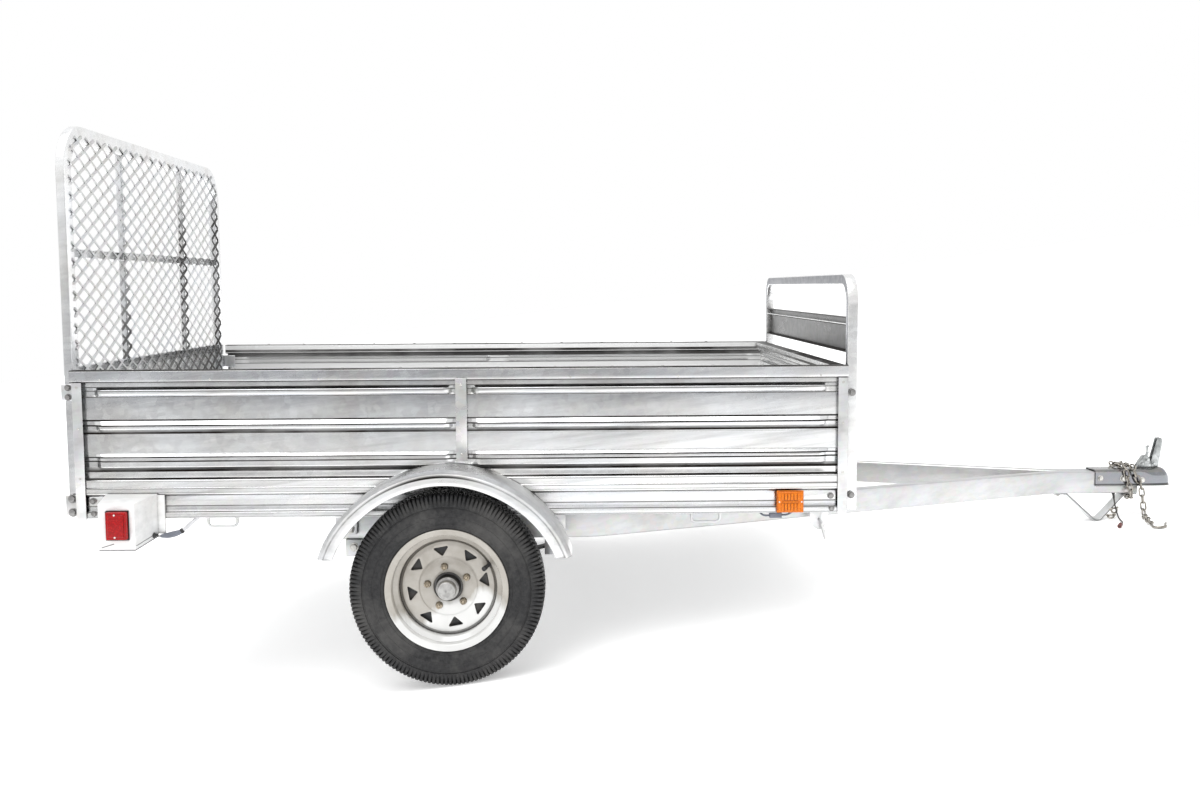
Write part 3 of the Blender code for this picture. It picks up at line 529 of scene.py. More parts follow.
def prism(bm, outline, place, thickness, bevel=0.0):
    """A flat outline of (a, b) points thickened along its own third axis, about the plane of place."""
    lower = [bm.verts.new(place @ Vector((a, b, -thickness / 2))) for a, b in outline]
    upper = [bm.verts.new(place @ Vector((a, b, thickness / 2))) for a, b in outline]
    n = len(outline)
    faces = [bm.faces.new(lower[::-1]), bm.faces.new(upper)]
    for i in range(n):
        faces.append(bm.faces.new((lower[i], lower[(i + 1) % n], upper[(i + 1) % n], upper[i])))
    if bevel:
        edges = list({e for f in faces[:2] for e in f.edges})
        bmesh.ops.bevel(bm, geom=edges, offset=bevel, segments=2, affect="EDGES", profile=0.5, clamp_overlap=True)


def facing(pos, axis, turn=0.0):
    """A frame at pos whose third axis points along axis."""
    z = Vector(axis).normalized()
    x = (Vector((0, 0, 1)) if abs(z.z) < 0.9 else Vector((1, 0, 0))).cross(z).normalized()
    m = Matrix((x, z.cross(x), z)).transposed().to_4x4()
    m.translation = pos
    return m @ Matrix.Rotation(turn, 4, "Z")


def lathe(bm, place, profile, steps=20):
    """(radius, height) about place's third axis, from the axis back to the axis or open below."""
    rows = []
    for k in range(steps):
        a = 2 * math.pi * k / steps
        rows.append([place @ Vector((r * math.cos(a), r * math.sin(a), h)) for r, h in profile])
    made = [[bm.verts.new(p) for p in row] for row in rows]
    for i in range(steps):
        a, b = made[i], made[(i + 1) % steps]
        for j in range(len(profile) - 1):
            bm.faces.new((a[j], b[j], b[j + 1], a[j + 1]))
    for end, flip in ((0, False), (-1, True)):
        cap = [row[end] for row in made]
        bm.faces.new(cap[::-1] if not flip else cap)


def hex_bolt(bm, pos, axis, across=0.013, height=0.0055, washer=True, turn=0.3, stud=0.0):
    place = facing(pos, axis, turn)
    base = 0.0
    if washer:
        r = across * 0.78
        lathe(bm, place, [(r * 0.98, -0.0004), (r, 0.0002), (r, 0.0011), (r * 0.94, 0.0016)], 20)
        base = 0.0014
    r = across / 2 / math.cos(math.pi / 6)
    corners = [(math.cos(math.pi * k / 3), math.sin(math.pi * k / 3)) for k in range(6)]
    rows = []
    for k, h in ((1.0, base - 0.0004), (1.0, base + height * 0.80), (0.90, base + height * 0.97), (0.74, base + height)):
        rows.append([place @ Vector((x * r * k, y * r * k, h)) for x, y in corners])
    grid(bm, rows, ring=True, caps=True)
    if stud:
        rs = across * 0.30
        lathe(bm, place, [(rs, base + height * 0.5), (rs, base + height + stud - rs * 0.3), (rs * 0.7, base + height + stud)], 12)


def dome_bolt(bm, pos, axis, r=0.008, h=0.004):
    lathe(bm, facing(pos, axis), [(r, -0.0004), (r, h * 0.25), (r * 0.86, h * 0.62), (r * 0.52, h * 0.92), (r * 0.15, h)], 18)


def weld_bead(bm, a, b, radius=0.003, seed=1):
    """A short run of weld, as overlapping ripples."""
    a, b = Vector(a), Vector(b)
    count = max(4, int((b - a).length / (radius * 0.6)))
    rnd = random.Random(seed)
    pts = [a.lerp(b, k / count) for k in range(count + 1)]
    wire(bm, pts, [radius * (0.82 + 0.22 * (k % 2) + 0.10 * rnd.random()) * (0.6 if k in (0, count) else 1) for k in range(count + 1)], 8)


LEVEL = PARKED.inverted()


def paint_shade_lines(bm, lines, level=True):
    """Paints dark lines of shade and reflection along pressed lines and edges, at heights of the level trailer, as
    (height, half width, strength).
    """
    frame_ = Matrix.Identity(4) if level else PARKED
    up_way = frame_.to_3x3() @ Vector((0, 0, 1))
    for h, w, _ in lines:
        for z in (h - w - 0.0006, h - w, h + w, h + w + 0.0006):
            bmesh.ops.bisect_plane(bm, geom=bm.verts[:] + bm.edges[:] + bm.faces[:], dist=0.00005,
                                   plane_co=frame_ @ Vector((0, 0, z)), plane_no=up_way)
    layer = bm.verts.layers.float.get("line") or bm.verts.layers.float.new("line")
    back_to = Matrix.Identity(4) if level else LEVEL
    for v in bm.verts:
        z = (back_to @ v.co).z
        for h, w, strength in lines:
            if abs(z - h) < w + 0.0002:
                v[layer] = max(v[layer], strength)


def paint_shade_bands(bm, bands, level=True):
    """Paints bands of shade and reflection, as (low, high, strength at low, strength at high), by the level trailer's
    heights.
    """
    frame_ = Matrix.Identity(4) if level else PARKED
    up_way = frame_.to_3x3() @ Vector((0, 0, 1))
    for low, high, _, _ in bands:
        for z in (low - 0.0006, low, high, high + 0.0006):
            bmesh.ops.bisect_plane(bm, geom=bm.verts[:] + bm.edges[:] + bm.faces[:], dist=0.00005,
                                   plane_co=frame_ @ Vector((0, 0, z)), plane_no=up_way)
    layer = bm.verts.layers.float.get("shade") or bm.verts.layers.float.new("shade")
    back_to = Matrix.Identity(4) if level else LEVEL
    for v in bm.verts:
        z = (back_to @ v.co).z
        for low, high, a, b in bands:
            if low - 0.0002 <= z <= high + 0.0002:
                v[layer] = max(v[layer], a + (b - a) * (z - low) / (high - low))


def refine(node, mat, width=0.0008, body=None, smooth=35, segments=2, angle=20, lines=(), bands=()):
    """The same solid with its edges eased, as the real folded and cut steel has."""
    source = NODES[node]
    bm = bmesh.new()
    bm.from_mesh(source.data)
    bmesh.ops.remove_doubles(bm, verts=bm.verts, dist=0.00002)
    bmesh.ops.dissolve_limit(bm, angle_limit=math.radians(0.6), verts=bm.verts, edges=bm.edges)
    edges = [e for e in bm.edges if e.is_manifold and e.calc_face_angle(0) > math.radians(angle)]
    if width and edges:
        bmesh.ops.bevel(bm, geom=edges, offset=width, segments=segments, affect="EDGES", profile=0.5,
                        clamp_overlap=True, loop_slide=True)
    if lines:
        paint_shade_lines(bm, lines, level=False)
    if bands:
        paint_shade_bands(bm, bands, level=False)
    obj = piece(node + "_eased", body or source["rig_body"], mat, bm, smooth, level=False, node=node)
    return obj


def smooth_path(points, spacing):
    """Evenly spaced points on one smooth curve through the given ones."""
    points = [Vector(p) for p in points]
    ends = [2 * points[0] - points[1]] + points + [2 * points[-1] - points[-2]]
    ways = [(c - a) / ((b - a).length + (c - b).length) for a, b, c in zip(ends, ends[1:], ends[2:])]
    fine = [points[0]]
    for a, b, out, into in zip(points, points[1:], ways, ways[1:]):
        reach = (b - a).length / 3
        fine += geometry.interpolate_bezier(a, a + out * reach, b - into * reach, b, 33)[1:]
    gone = [0.0]
    for a, b in zip(fine, fine[1:]):
        gone.append(gone[-1] + (b - a).length)
    count, path, k = max(2, round(gone[-1] / spacing)), [], 0
    for i in range(count + 1):
        want = gone[-1] * i / count
        while k < len(gone) - 2 and gone[k + 1] < want:
            k += 1
        path.append(fine[k].lerp(fine[k + 1], (want - gone[k]) / (gone[k + 1] - gone[k])))
    return path


# ------------------------------------------------------------------ wiring lead, first: it lies on the ground
LEAD = [(1.5227, -0.0310, 0.0914), (1.5232, -0.0314, 0.0700), (1.5240, -0.0335, 0.0480), (1.5245, -0.0400, 0.0260),
        (1.5240, -0.0530, 0.0095), (1.5225, -0.0710, 0.0032), (1.5190, -0.0900, 0.0030), (1.5130, -0.1080, 0.0032),
        (1.5050, -0.1240, 0.0050), (1.4970, -0.1370, 0.0075)]
lead_path = smooth_path(LEAD, 0.0040)
lead_curve = bpy.data.curves.new("wiring_lead_jacket", "CURVE")
lead_curve.dimensions, lead_curve.bevel_depth, lead_curve.bevel_resolution, lead_curve.use_fill_caps = "3D", 0.0025, 4, True
line = lead_curve.splines.new("POLY")
line.points.add(len(lead_path) - 1)
for point, p in zip(line.points, lead_path):
    point.co = (*p, 1)
line.use_smooth = True
lead = bpy.data.objects.new("wiring_lead_jacket", lead_curve)
bpy.context.scene.collection.objects.link(lead)
lead_curve.materials.append(M["jacket"])
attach(lead, "chassis")
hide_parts("wiring_lead")

end_way = Vector(((lead_path[-1] - lead_path[-4]).x, (lead_path[-1] - lead_path[-4]).y, 0)).normalized()
bm = bmesh.new()
plug_frame = facing(lead_path[-1] + end_way * 0.0003, end_way)
lathe(bm, plug_frame, [(0.0030, 0.0000), (0.0034, 0.0004), (0.0036, 0.0050), (0.0042, 0.0058), (0.0042, 0.0076), (0.0038, 0.0080),
                       (0.0046, 0.0096), (0.0062, 0.0110), (0.0069, 0.0125), (0.0069, 0.0190), (0.0062, 0.0196), (0.0062, 0.0212),
                       (0.0069, 0.0218), (0.0069, 0.0390), (0.0063, 0.0415), (0.0050, 0.0424), (0.0034, 0.0424), (0.0034, 0.0360)], 24)
plug = piece("lead_plug_shell", "chassis", "plug", bm, 30, level=False, node="lead_plug")
bm = bmesh.new()
for a in (0.4, 2.5, 4.6):
    offset = plug_frame @ Matrix.Translation((0.0017 * math.cos(a), 0.0017 * math.sin(a), 0.036))
    lathe(bm, offset, [(0.0008, 0), (0.0008, 0.0058), (0.0004, 0.0064)], 8)
pins = piece("lead_plug_pins", "chassis", "bolt", bm, 30, level=False)
bm = bmesh.new()   # rubber grommet where the lead leaves the rail
lathe(bm, facing(Vector(LEAD[0]) + Vector((0, 0, 0.0008)), (0, 0, -1)),
      [(0.0062, 0.0), (0.0066, 0.0012), (0.0060, 0.0026), (0.0046, 0.0032), (0.0042, 0.0080), (0.0036, 0.0160), (0.0029, 0.0215), (0.0026, 0.0220)], 20)
boot = piece("lead_grommet", "chassis", "black", bm, 40, level=False)

# ------------------------------------------------------------------ safety chain
WRAP = [(2.233, 0.0534, 0.410), (2.230, 0.0534, 0.438), (2.229, 0.0510, 0.4550), (2.230, 0.0250, 0.4576), (2.231, 0, 0.4576),
        (2.233, -0.0250, 0.4576), (2.235, -0.0510, 0.4550), (2.238, -0.0536, 0.438), (2.247, -0.0536, 0.405),
        (2.256, -0.0536, 0.374), (2.260, -0.0470, 0.3560), (2.262, -0.0250, 0.3498), (2.262, 0, 0.3498),
        (2.262, 0.0250, 0.3498), (2.261, 0.0470, 0.3560), (2.259, 0.0534, 0.374), (2.257, 0.0534, 0.405),
        (2.256, 0.0534, 0.438), (2.256, 0.0510, 0.4550), (2.257, 0.0250, 0.4576), (2.258, 0, 0.4576),
        (2.260, -0.0250, 0.4576), (2.263, -0.0510, 0.4550), (2.268, -0.0536, 0.438), (2.279, -0.0542, 0.415),
        (2.289, -0.0546, 0.395)]
FALL = [(1.6110, -0.0550, 0.085), (1.6110, -0.0565, 0.055), (1.6095, -0.0600, 0.030), (1.6050, -0.0690, 0.0130),
        (1.6000, -0.0850, 0.0090), (1.5940, -0.1100, 0.0090), (1.5870, -0.1400, 0.0090), (1.5800, -0.1650, 0.0090)]
CHAIN = smooth_path([PARKED @ Vector(p) for p in WRAP] + [Vector(p) for p in FALL], 0.0020)
LINK_PITCH, LINK_WIRE, LINK_W = 0.0238, 0.0027, 0.0077    # pitch, wire radius, half the width at the wire's middle
bm = bmesh.new()
gone, total = [0.0], 0.0
for a, b in zip(CHAIN, CHAIN[1:]):
    total += (b - a).length
    gone.append(total)


def along_chain(d):
    d = min(max(d, 0.0), gone[-1] - 1e-6)
    k = min(int(d / (gone[-1] / (len(gone) - 1))), len(gone) - 2)
    return CHAIN[k].lerp(CHAIN[k + 1], (d - gone[k]) / (gone[k + 1] - gone[k]))


def link(bm, middle, way, normal, half, width, radius, sides=9, steps=7):
    """One long link: two straight sides with round ends."""
    side = normal.cross(way).normalized()
    pts = []
    for k in range(steps + 1):
        a = math.pi * k / steps - math.pi / 2
        pts.append(middle + way * (half - width + width * math.cos(a)) + side * width * math.sin(a))
    for k in range(steps + 1):
        a = math.pi * k / steps + math.pi / 2
        pts.append(middle + way * (-(half - width) + width * math.cos(a)) + side * width * math.sin(a))
    wire(bm, pts, radius, sides, closed=True)


count = int(total / LINK_PITCH)
AXLE = PARKED @ Vector((2.26, 0, 0.405))
for i in range(count + 1):
    d = total - 0.010 - i * LINK_PITCH
    if d < -0.004:
        break
    p = along_chain(d)
    way = (along_chain(d + 0.006) - along_chain(d - 0.006)).normalized()
    if d < total - 0.235:      # wrapped: each link lies at half a right angle to the coupler's face
        away = p - AXLE
        away = Vector((0, away.y, away.z)).normalized()
        turn = math.radians(42 if i % 2 else -48)
        shift = Vector()
    else:
        away = Vector((0, -1, 0.02)) if p.z > 0.03 else Vector((0.1, 0, 1))
        turn = math.radians(12 if i % 2 else 98) if p.z > 0.03 else math.radians(38 if i % 2 else -50)
        shift = Vector()
    normal = (away - way * away.dot(way)).normalized()
    normal = Matrix.Rotation(turn, 3, way) @ normal
    lowest = 0.5 * LINK_PITCH + LINK_WIRE + 0.0022
    link(bm, p + shift, way, normal, 0.5 * LINK_PITCH + 2 * LINK_WIRE - LINK_WIRE, LINK_W, LINK_WIRE)
HOOK_EYE, HOOK_WAY, HOOK_BEND, HOOK_SHANK = Vector((1.5800, -0.1650, 0.0050)), Vector((-0.25, -0.968, 0)).normalized(), 0.0195, 0.062
side_way = Vector((-HOOK_WAY.y, HOOK_WAY.x, 0))
hook = []
for k in range(13):            # the closed eye
    a = math.radians(-150 + 300 * k / 12)
    hook.append((0.0035 - 0.0105 * math.cos(a), 0.0095 * math.sin(a), 0.0052 + 0.0065 * (1 - k / 12) * (1 if k < 7 else 0.2)))
hook = hook[::-1]
hook += [(0.026, 0.0, 0.0052)]
for k in range(13):
    a = math.radians(180 * k / 12)
    hook.append((HOOK_SHANK + HOOK_BEND * math.sin(a), HOOK_BEND - HOOK_BEND * math.cos(a), 0.0050))
hook += [(HOOK_SHANK - 0.018, 2 * HOOK_BEND + 0.002, 0.0050), (HOOK_SHANK - 0.034, 2 * HOOK_BEND + 0.007, 0.0050)]
hook_pts = [Vector((HOOK_EYE.x, HOOK_EYE.y, 0)) + HOOK_WAY * u + side_way * v + Vector((0, 0, h)) for u, v, h in hook]
wire(bm, smooth_path(hook_pts, 0.004), 0.0043, 12)
piece("safety_chain_links", "chassis", "chain", bm, 60, level=False, node="safety_chain")

# ------------------------------------------------------------------ wheels
def tyre_mesh(s):
    """Tread of ribs and cross sipes, square shoulders with cut lugs, and a sidewall with fine rings."""
    outer = []           # (r, y, kind): from the bead up the outboard side to the middle of the tread
    side_line = [(0.1677, 0.0556), (0.1697, 0.0574), (0.1745, 0.0588), (0.1785, 0.0592), (0.1795, 0.0606), (0.1812, 0.0610), (0.1830, 0.0604),
                 (0.1900, 0.0618), (0.1990, 0.0632), (0.2006, 0.0634), (0.2012, 0.0641), (0.2022, 0.0641), (0.2028, 0.0634), (0.2100, 0.0634),
                 (0.2180, 0.0628), (0.2245, 0.0617), (0.2252, 0.0623), (0.2262, 0.0622), (0.2268, 0.0612), (0.2295, 0.0606),
                 (0.2302, 0.0622), (0.2318, 0.0622)]
    for r, y in side_line:
        outer.append((r, y, 0))
    shoulder = [(0.2330, 0.0624), (0.2410, 0.0612), (0.2500, 0.0592), (0.2570, 0.0566), (0.2620, 0.0530), (0.2643, 0.0490)]
    for r, y in shoulder:
        outer.append((r, y, 1))
    tread = []
    y = 0.0470
    ribs = [(0.0470, 0.0330), (0.0290, 0.0120), (0.0080, -0.0080)]      # half of the tread: outer rib, middle rib, centre rib
    for hi, lo in ribs:
        for k in range(4):
            yy = hi + (lo - hi) * k / 3
            crown = 0.2664 - 0.55 * yy * yy
            tread.append((min(crown, 0.2664), yy, 2))
        g = 0.2664 - 0.55 * lo * lo - 0.0065
        if lo > 0:
            tread.append((g, lo - 0.0006, 3))
            tread.append((g, lo - 0.0034, 3))
    half = outer + tread
    mirrored = [(r, -yy, kind) for r, yy, kind in reversed(half[:-4])]
    full = half + mirrored
    liner = [(0.1560, -0.0400, 0), (0.1560, 0.0400, 0)]
    steps = 560
    lugs = 140
    bm = bmesh.new()
    rows = []
    for k in range(steps):
        a = 2 * math.pi * k / steps
        in_gap = (k % (steps // lugs)) == 0
        row = []
        for r, yy, kind in full + liner:
            rr, oy = r, yy
            if kind == 1:      # lugs of the shoulder
                depth = 0.0042 if in_gap else 0.0
                t = (r - 0.2330) / 0.0276
                oy = yy - math.copysign(depth * (0.35 + 0.65 * t), yy)
                rr = r - depth * 0.55 * t
            elif kind == 2:
                shift = 2 if abs(yy) < 0.030 else 0
                if (k + shift) % 4 == 0 and abs(yy) > 0.0085:
                    rr = r - 0.0038
            row.append(Vector((rr * math.cos(a), s * (WHEEL_Y + oy), WHEEL_R + rr * math.sin(a))))
        rows.append(row)
    grid(bm, rows, ring=True, loop=True)
    return bm


RIM_LINE = [(0.1662, 0.0610), (0.1678, 0.0600), (0.1684, 0.0582), (0.1674, 0.0566), (0.1600, 0.0548), (0.1545, 0.0522), (0.1530, 0.0490),
            (0.1515, 0.0320), (0.1490, 0.0290), (0.1390, 0.0255), (0.1375, 0.0230), (0.1375, -0.0040), (0.1390, -0.0070),
            (0.1510, -0.0190), (0.1530, -0.0220), (0.1535, -0.0480), (0.1550, -0.0520), (0.1674, -0.0566), (0.1684, -0.0582), (0.1678, -0.0600),
            (0.1662, -0.0610), (0.1640, -0.0602), (0.1610, -0.0580), (0.1520, -0.0548), (0.1500, -0.0510), (0.1487, -0.0225), (0.1475, -0.0190),
            (0.1360, -0.0085), (0.1345, -0.0060), (0.1345, 0.0220), (0.1355, 0.0250), (0.1372, 0.0268), (0.1470, 0.0308), (0.1487, 0.0325),
            (0.1500, 0.0500), (0.1512, 0.0538), (0.1535, 0.0556), (0.1600, 0.0578), (0.1636, 0.0600)]
DISC_LINE = [(0.0400, 0.0072), (0.0765, 0.0072), (0.0805, 0.0030), (0.1215, 0.0045), (0.1260, -0.0020), (0.1349, -0.0020), (0.1349, 0.0025),
             (0.1300, 0.0032), (0.1278, 0.0050), (0.1262, 0.0078), (0.1240, 0.0088), (0.1100, 0.0090), (0.0860, 0.0072), (0.0828, 0.0072), (0.0805, 0.0080),
             (0.0785, 0.0100), (0.0765, 0.0108), (0.0560, 0.0112), (0.0425, 0.0108), (0.0408, 0.0100), (0.0400, 0.0086)]


def window_outline():
    """A rounded triangle, its base outward: x is along the radius."""
    base, half, apex, r = 0.1117, 0.0230, 0.0848, 0.0030
    corners = [Vector((apex, 0, 0)), Vector((base, half, 0)), Vector((base, -half, 0))]
    line = []
    for i in range(3):
        a, b, c = corners[i - 1], corners[i], corners[(i + 1) % 3]
        path = rounded([a.lerp(b, 0.5), b, b.lerp(c, 0.5)], r, 5)
        line += path[1:-1]
    return [(p.x, p.y) for p in line]


def spun_object(name, profile, steps, s):
    bm = bmesh.new()
    revolve(bm, profile, steps, s=s)
    bmesh.ops.recalc_face_normals(bm, faces=bm.faces)
    return bm


for side, s in SIDES:
    body = f"wheel_{side}"
    piece(f"tyre_tread_{side}", body, "rubber", tyre_mesh(s), 40, node=f"tyre_{side}", recalc=True)
    # the disc with its windows, cut and then joined to the barrel's mesh
    disc_bm = spun_object("disc", DISC_LINE, 120, s)
    disc_data = bpy.data.meshes.new("disc")
    disc_bm.to_mesh(disc_data)
    disc_bm.free()
    disc = bpy.data.objects.new(f"wheel_disc_{side}", disc_data)
    bpy.context.scene.collection.objects.link(disc)
    cut_bm = bmesh.new()
    for k in range(8):
        a = math.radians(10 + 45 * k)
        place = Matrix(((math.cos(a), -math.sin(a), 0, 0), (0, 0, 1, s * (WHEEL_Y + 0.006)), (math.sin(a), math.cos(a), 0, WHEEL_R), (0, 0, 0, 1)))
        prism(cut_bm, window_outline(), place, 0.03)
    bmesh.ops.recalc_face_normals(cut_bm, faces=cut_bm.faces)
    cut_data = bpy.data.meshes.new("cut")
    cut_bm.to_mesh(cut_data)
    cut_bm.free()
    cutter = bpy.data.objects.new("cut", cut_data)
    bpy.context.scene.collection.objects.link(cutter)
    step = disc.modifiers.new("windows", "BOOLEAN")
    step.operation, step.object = "DIFFERENCE", cutter
    bpy.context.view_layer.update()
    done = bpy.data.meshes.new_from_object(disc.evaluated_get(bpy.context.evaluated_depsgraph_get()))
    bpy.data.objects.remove(disc, do_unlink=True)
    bpy.data.objects.remove(cutter, do_unlink=True)
    bm = bmesh.new()
    bm.from_mesh(done)
    bmesh.ops.remove_doubles(bm, verts=bm.verts, dist=0.00002)
    sharp = [e for e in bm.edges if e.is_manifold and e.calc_face_angle(0) > math.radians(50)]
    bmesh.ops.bevel(bm, geom=sharp, offset=0.0006, segments=2, affect="EDGES", profile=0.5, clamp_overlap=True)
    revolve(bm, RIM_LINE, 120, s=s)
    piece(f"wheel_rim_{side}_painted", body, "rim", bm, 32, node=f"wheel_rim_{side}", recalc=True)
    # hub: its flange and barrel, then the collar and dust cap; barrel and flange are near-black, painted shade for the
    # dark gap round the cap
    bm = bmesh.new()
    hub = [(0.0165, 0.0360), (0.0165, -0.0580), (0.0300, -0.0580), (0.0330, -0.0080), (0.0618, -0.0060), (0.0625, -0.0052), (0.0625, 0.0058),
           (0.0618, 0.0067), (0.0345, 0.0068), (0.0330, 0.0082), (0.0318, 0.0110), (0.0306, 0.0330), (0.0298, 0.0340), (0.0270, 0.0350)]
    revolve(bm, hub, 64, s=s)
    piece(f"wheel_hub_{side}_barrel", body, "dark_hub_painted_shade", bm, 35, node=f"wheel_hub_{side}", recalc=True)
    bm = bmesh.new()
    cap = [(0.0292, 0.0330), (0.0312, 0.0340), (0.0316, 0.0352), (0.0314, 0.0378), (0.0302, 0.0388), (0.0298, 0.0428), (0.0290, 0.0436),
           (0.0266, 0.0438), (0.0258, 0.0450), (0.0257, 0.0640), (0.0250, 0.0668), (0.0236, 0.0684), (0.0215, 0.0690), (0.0205, 0.0686), (0.0195, 0.0678),
           (0.0100, 0.0684), (0.0012, 0.0686), (0.0012, 0.0640), (0.0230, 0.0630), (0.0235, 0.0420), (0.0270, 0.0330)]
    revolve(bm, cap, 64, s=s)
    piece(f"wheel_dust_cap_{side}", body, "hub", bm, 35, recalc=True)
    bm = bmesh.new()       # a plain black shield behind the windows: a dark sheet that stands in for the shade seen through them
    revolve(bm, [(0.0335, -0.0085), (0.0335, -0.0068), (0.0640, -0.0064), (0.0900, -0.0052), (0.1305, -0.0052), (0.1320, -0.0062), (0.1320, -0.0075),
                 (0.0900, -0.0072), (0.0640, -0.0085)], 72, s=s)
    piece(f"wheel_shade_backing_{side}", body, "spring", bm, 35, recalc=True)
    # wheel nuts: cone, hexagon and stud
    bm = bmesh.new()
    for k in range(5):
        a = math.radians(27.5 + 72 * k)
        pos = Vector((0.05715 * math.cos(a), s * (WHEEL_Y + 0.0108), WHEEL_R + 0.05715 * math.sin(a)))
        place = facing(pos, (0, s, 0), 0.4 + k)
        lathe(bm, place, [(0.0104, -0.0006), (0.0102, 0.0008), (0.0088, 0.0030)], 24)
        hex_bolt(bm, pos + Vector((0, s * 0.0014, 0)), (0, s, 0), 0.0165, 0.0125, False, 0.4 + k, 0.0035)
    piece(f"wheel_nuts_{side}", body, "lug", bm, 30, recalc=True)
    # valve: rubber stem through the rim with its cap
    bm = bmesh.new()
    a = math.radians(29)
    ray = Vector((math.cos(a), 0, math.sin(a)))
    root = Vector((0, s * (WHEEL_Y + 0.0150), WHEEL_R)) + ray * 0.1350
    way = (ray * -0.55 + Vector((0, s * 0.83, 0))).normalized()
    lathe(bm, facing(root, way), [(0.0094, -0.002), (0.0096, 0.0010), (0.0080, 0.0030), (0.0066, 0.0050), (0.0056, 0.0110), (0.0052, 0.0230),
                                  (0.0046, 0.0240), (0.0046, 0.0260), (0.0062, 0.0264), (0.0066, 0.0270), (0.0066, 0.0370), (0.0056, 0.0384), (0.0024, 0.0388)], 18)
    piece(f"valve_{side}", body, "black", bm, 40, recalc=True)

# ------------------------------------------------------------------ bed: sides, rails, posts
POST_BACK, POST_FRONT = -1.041, 1.116
RIBS = ((0.5788, 0.5903, 0.6162, 0.6278), (0.6851, 0.6963, 0.7067, 0.7212), (0.7866, 0.7925, 0.8060, 0.8137))


def rib_profile(flat, proud, low, high, foot):
    line = [(foot, low), (foot, low + 0.020), (flat, low + 0.026)]
    for start, full, fade, end in RIBS:
        line += [(flat, start), (proud, full), (proud, fade), (flat, end)]
    return line + [(flat, high)]


def ribbed_panel(name, body, node, flat, proud, foot, spans, ends, put, thickness=0.0020):
    """A sheet with pressed ribs that fade out at their ends. put turns (along, out, height) into a point."""
    full = round_line(rib_profile(flat, proud, 0.5335, 0.8272, foot), 0.0030, 3)
    plain_line = []
    heights = [h for _, h in full]
    base = [(foot if h <= 0.5535 else (flat if h >= 0.5595 else foot + (flat - foot) * (h - 0.5535) / 0.006)) for h in heights]
    fade_len = 0.030
    xs = [ends[0]]
    for a, b in spans:
        for k in range(9):
            xs.append(a + fade_len * k / 8)
        steps = int((b - a - 2 * fade_len) / 0.06)
        xs += [a + fade_len + (b - a - 2 * fade_len) * k / steps for k in range(1, steps)]
        for k in range(9):
            xs.append(b - fade_len + fade_len * k / 8)
    xs.append(ends[1])
    def weight(x):
        for a, b in spans:
            if a <= x <= b:
                t = min(1.0, min(x - a, b - x) / fade_len)
                return t * t * (3 - 2 * t)
        return 0.0
    rows_out, rows_in = [], []
    for x in xs:
        w = weight(x)
        outs = [b0 + (o - b0) * w for (o, _), b0 in zip(full, base)]
        rows_out.append([put(x, o, h) for o, h in zip(outs, heights)])
        rows_in.append([put(x, o - thickness, h) for o, h in zip(outs, heights)])
    bm = bmesh.new()
    out = [[bm.verts.new(p) for p in row] for row in rows_out]
    inn = [[bm.verts.new(p) for p in row] for row in rows_in]
    n, m = len(xs), len(heights)
    for i in range(n - 1):
        for j in range(m - 1):
            bm.faces.new((out[i][j], out[i + 1][j], out[i + 1][j + 1], out[i][j + 1]))
            bm.faces.new((inn[i][j], inn[i][j + 1], inn[i + 1][j + 1], inn[i + 1][j]))
    for i in range(n - 1):
        bm.faces.new((out[i][0], inn[i][0], inn[i + 1][0], out[i + 1][0]))
        bm.faces.new((out[i][-1], out[i + 1][-1], inn[i + 1][-1], inn[i][-1]))
    for j in range(m - 1):
        bm.faces.new((out[0][j], out[0][j + 1], inn[0][j + 1], inn[0][j]))
        bm.faces.new((out[-1][j], inn[-1][j], inn[-1][j + 1], out[-1][j + 1]))
    bmesh.ops.recalc_face_normals(bm, faces=bm.faces)
    paint_shade_lines(bm, PANEL_LINES)
    paint_shade_bands(bm, PANEL_BANDS)
    layer = bm.verts.layers.float["line"]
    for v in bm.verts:       # painted shade and reflection on the lower slopes of the two big ribs, darkest behind the wheel
        along = v.co.x if abs(v.co.y) > 0.78 else v.co.y
        painted_reflection_spot = math.exp(-((along + 0.56) / 0.13) ** 2)
        for low, high, a, b in ((0.6851, 0.6963, 1.0, 0.20 + 0.75 * painted_reflection_spot), (0.5788, 0.5903, 1.0, 0.45 + 0.55 * painted_reflection_spot)):
            if low <= v.co.z <= high:
                v[layer] = max(v[layer], a + (b - a) * (v.co.z - low) / (high - low))
    return piece(name, body, "sheet", bm, 40, node=node)


# painted shade and reflection, as dark lines and bands by height, on the pressed sheets and the rails
PANEL_LINES = [(0.8137, 0.0011, 0.85), (0.8031, 0.0012, 0.75), (0.7866, 0.0014, 0.80), (0.7212, 0.0020, 1.0), (0.7067, 0.0018, 1.0),
               (0.6851, 0.0024, 1.0), (0.6790, 0.0008, 0.35), (0.6278, 0.0010, 0.30), (0.6178, 0.0016, 1.0), (0.6068, 0.0018, 1.0),
               (0.5788, 0.0026, 1.0), (0.5572, 0.0020, 1.0), (0.5500, 0.0008, 0.45)]
PANEL_BANDS = [(0.7420, 0.7846, 0.0, 0.50), (0.7250, 0.7419, 0.06, 0.0), (0.8060, 0.8120, 0.30, 0.30), (0.6440, 0.6760, 0.0, 0.14),
               (0.6964, 0.7040, 0.16, 0.06), (0.5930, 0.6040, 0.20, 0.06)]
RAIL_LINES = [(0.5302, 0.0010, 0.65), (0.5190, 0.0008, 0.40), (0.5120, 0.0012, 0.80), (0.4805, 0.0016, 0.70), (0.4640, 0.0012, 0.80), (0.4495, 0.0010, 0.55)]
RAIL_BANDS = [(0.4950, 0.5100, 0.14, 0.46), (0.4660, 0.4780, 0.20, 0.30)]
TOP_RAIL_LINES = [(0.8605, 0.0014, 1.0), (0.8285, 0.0014, 1.0)]
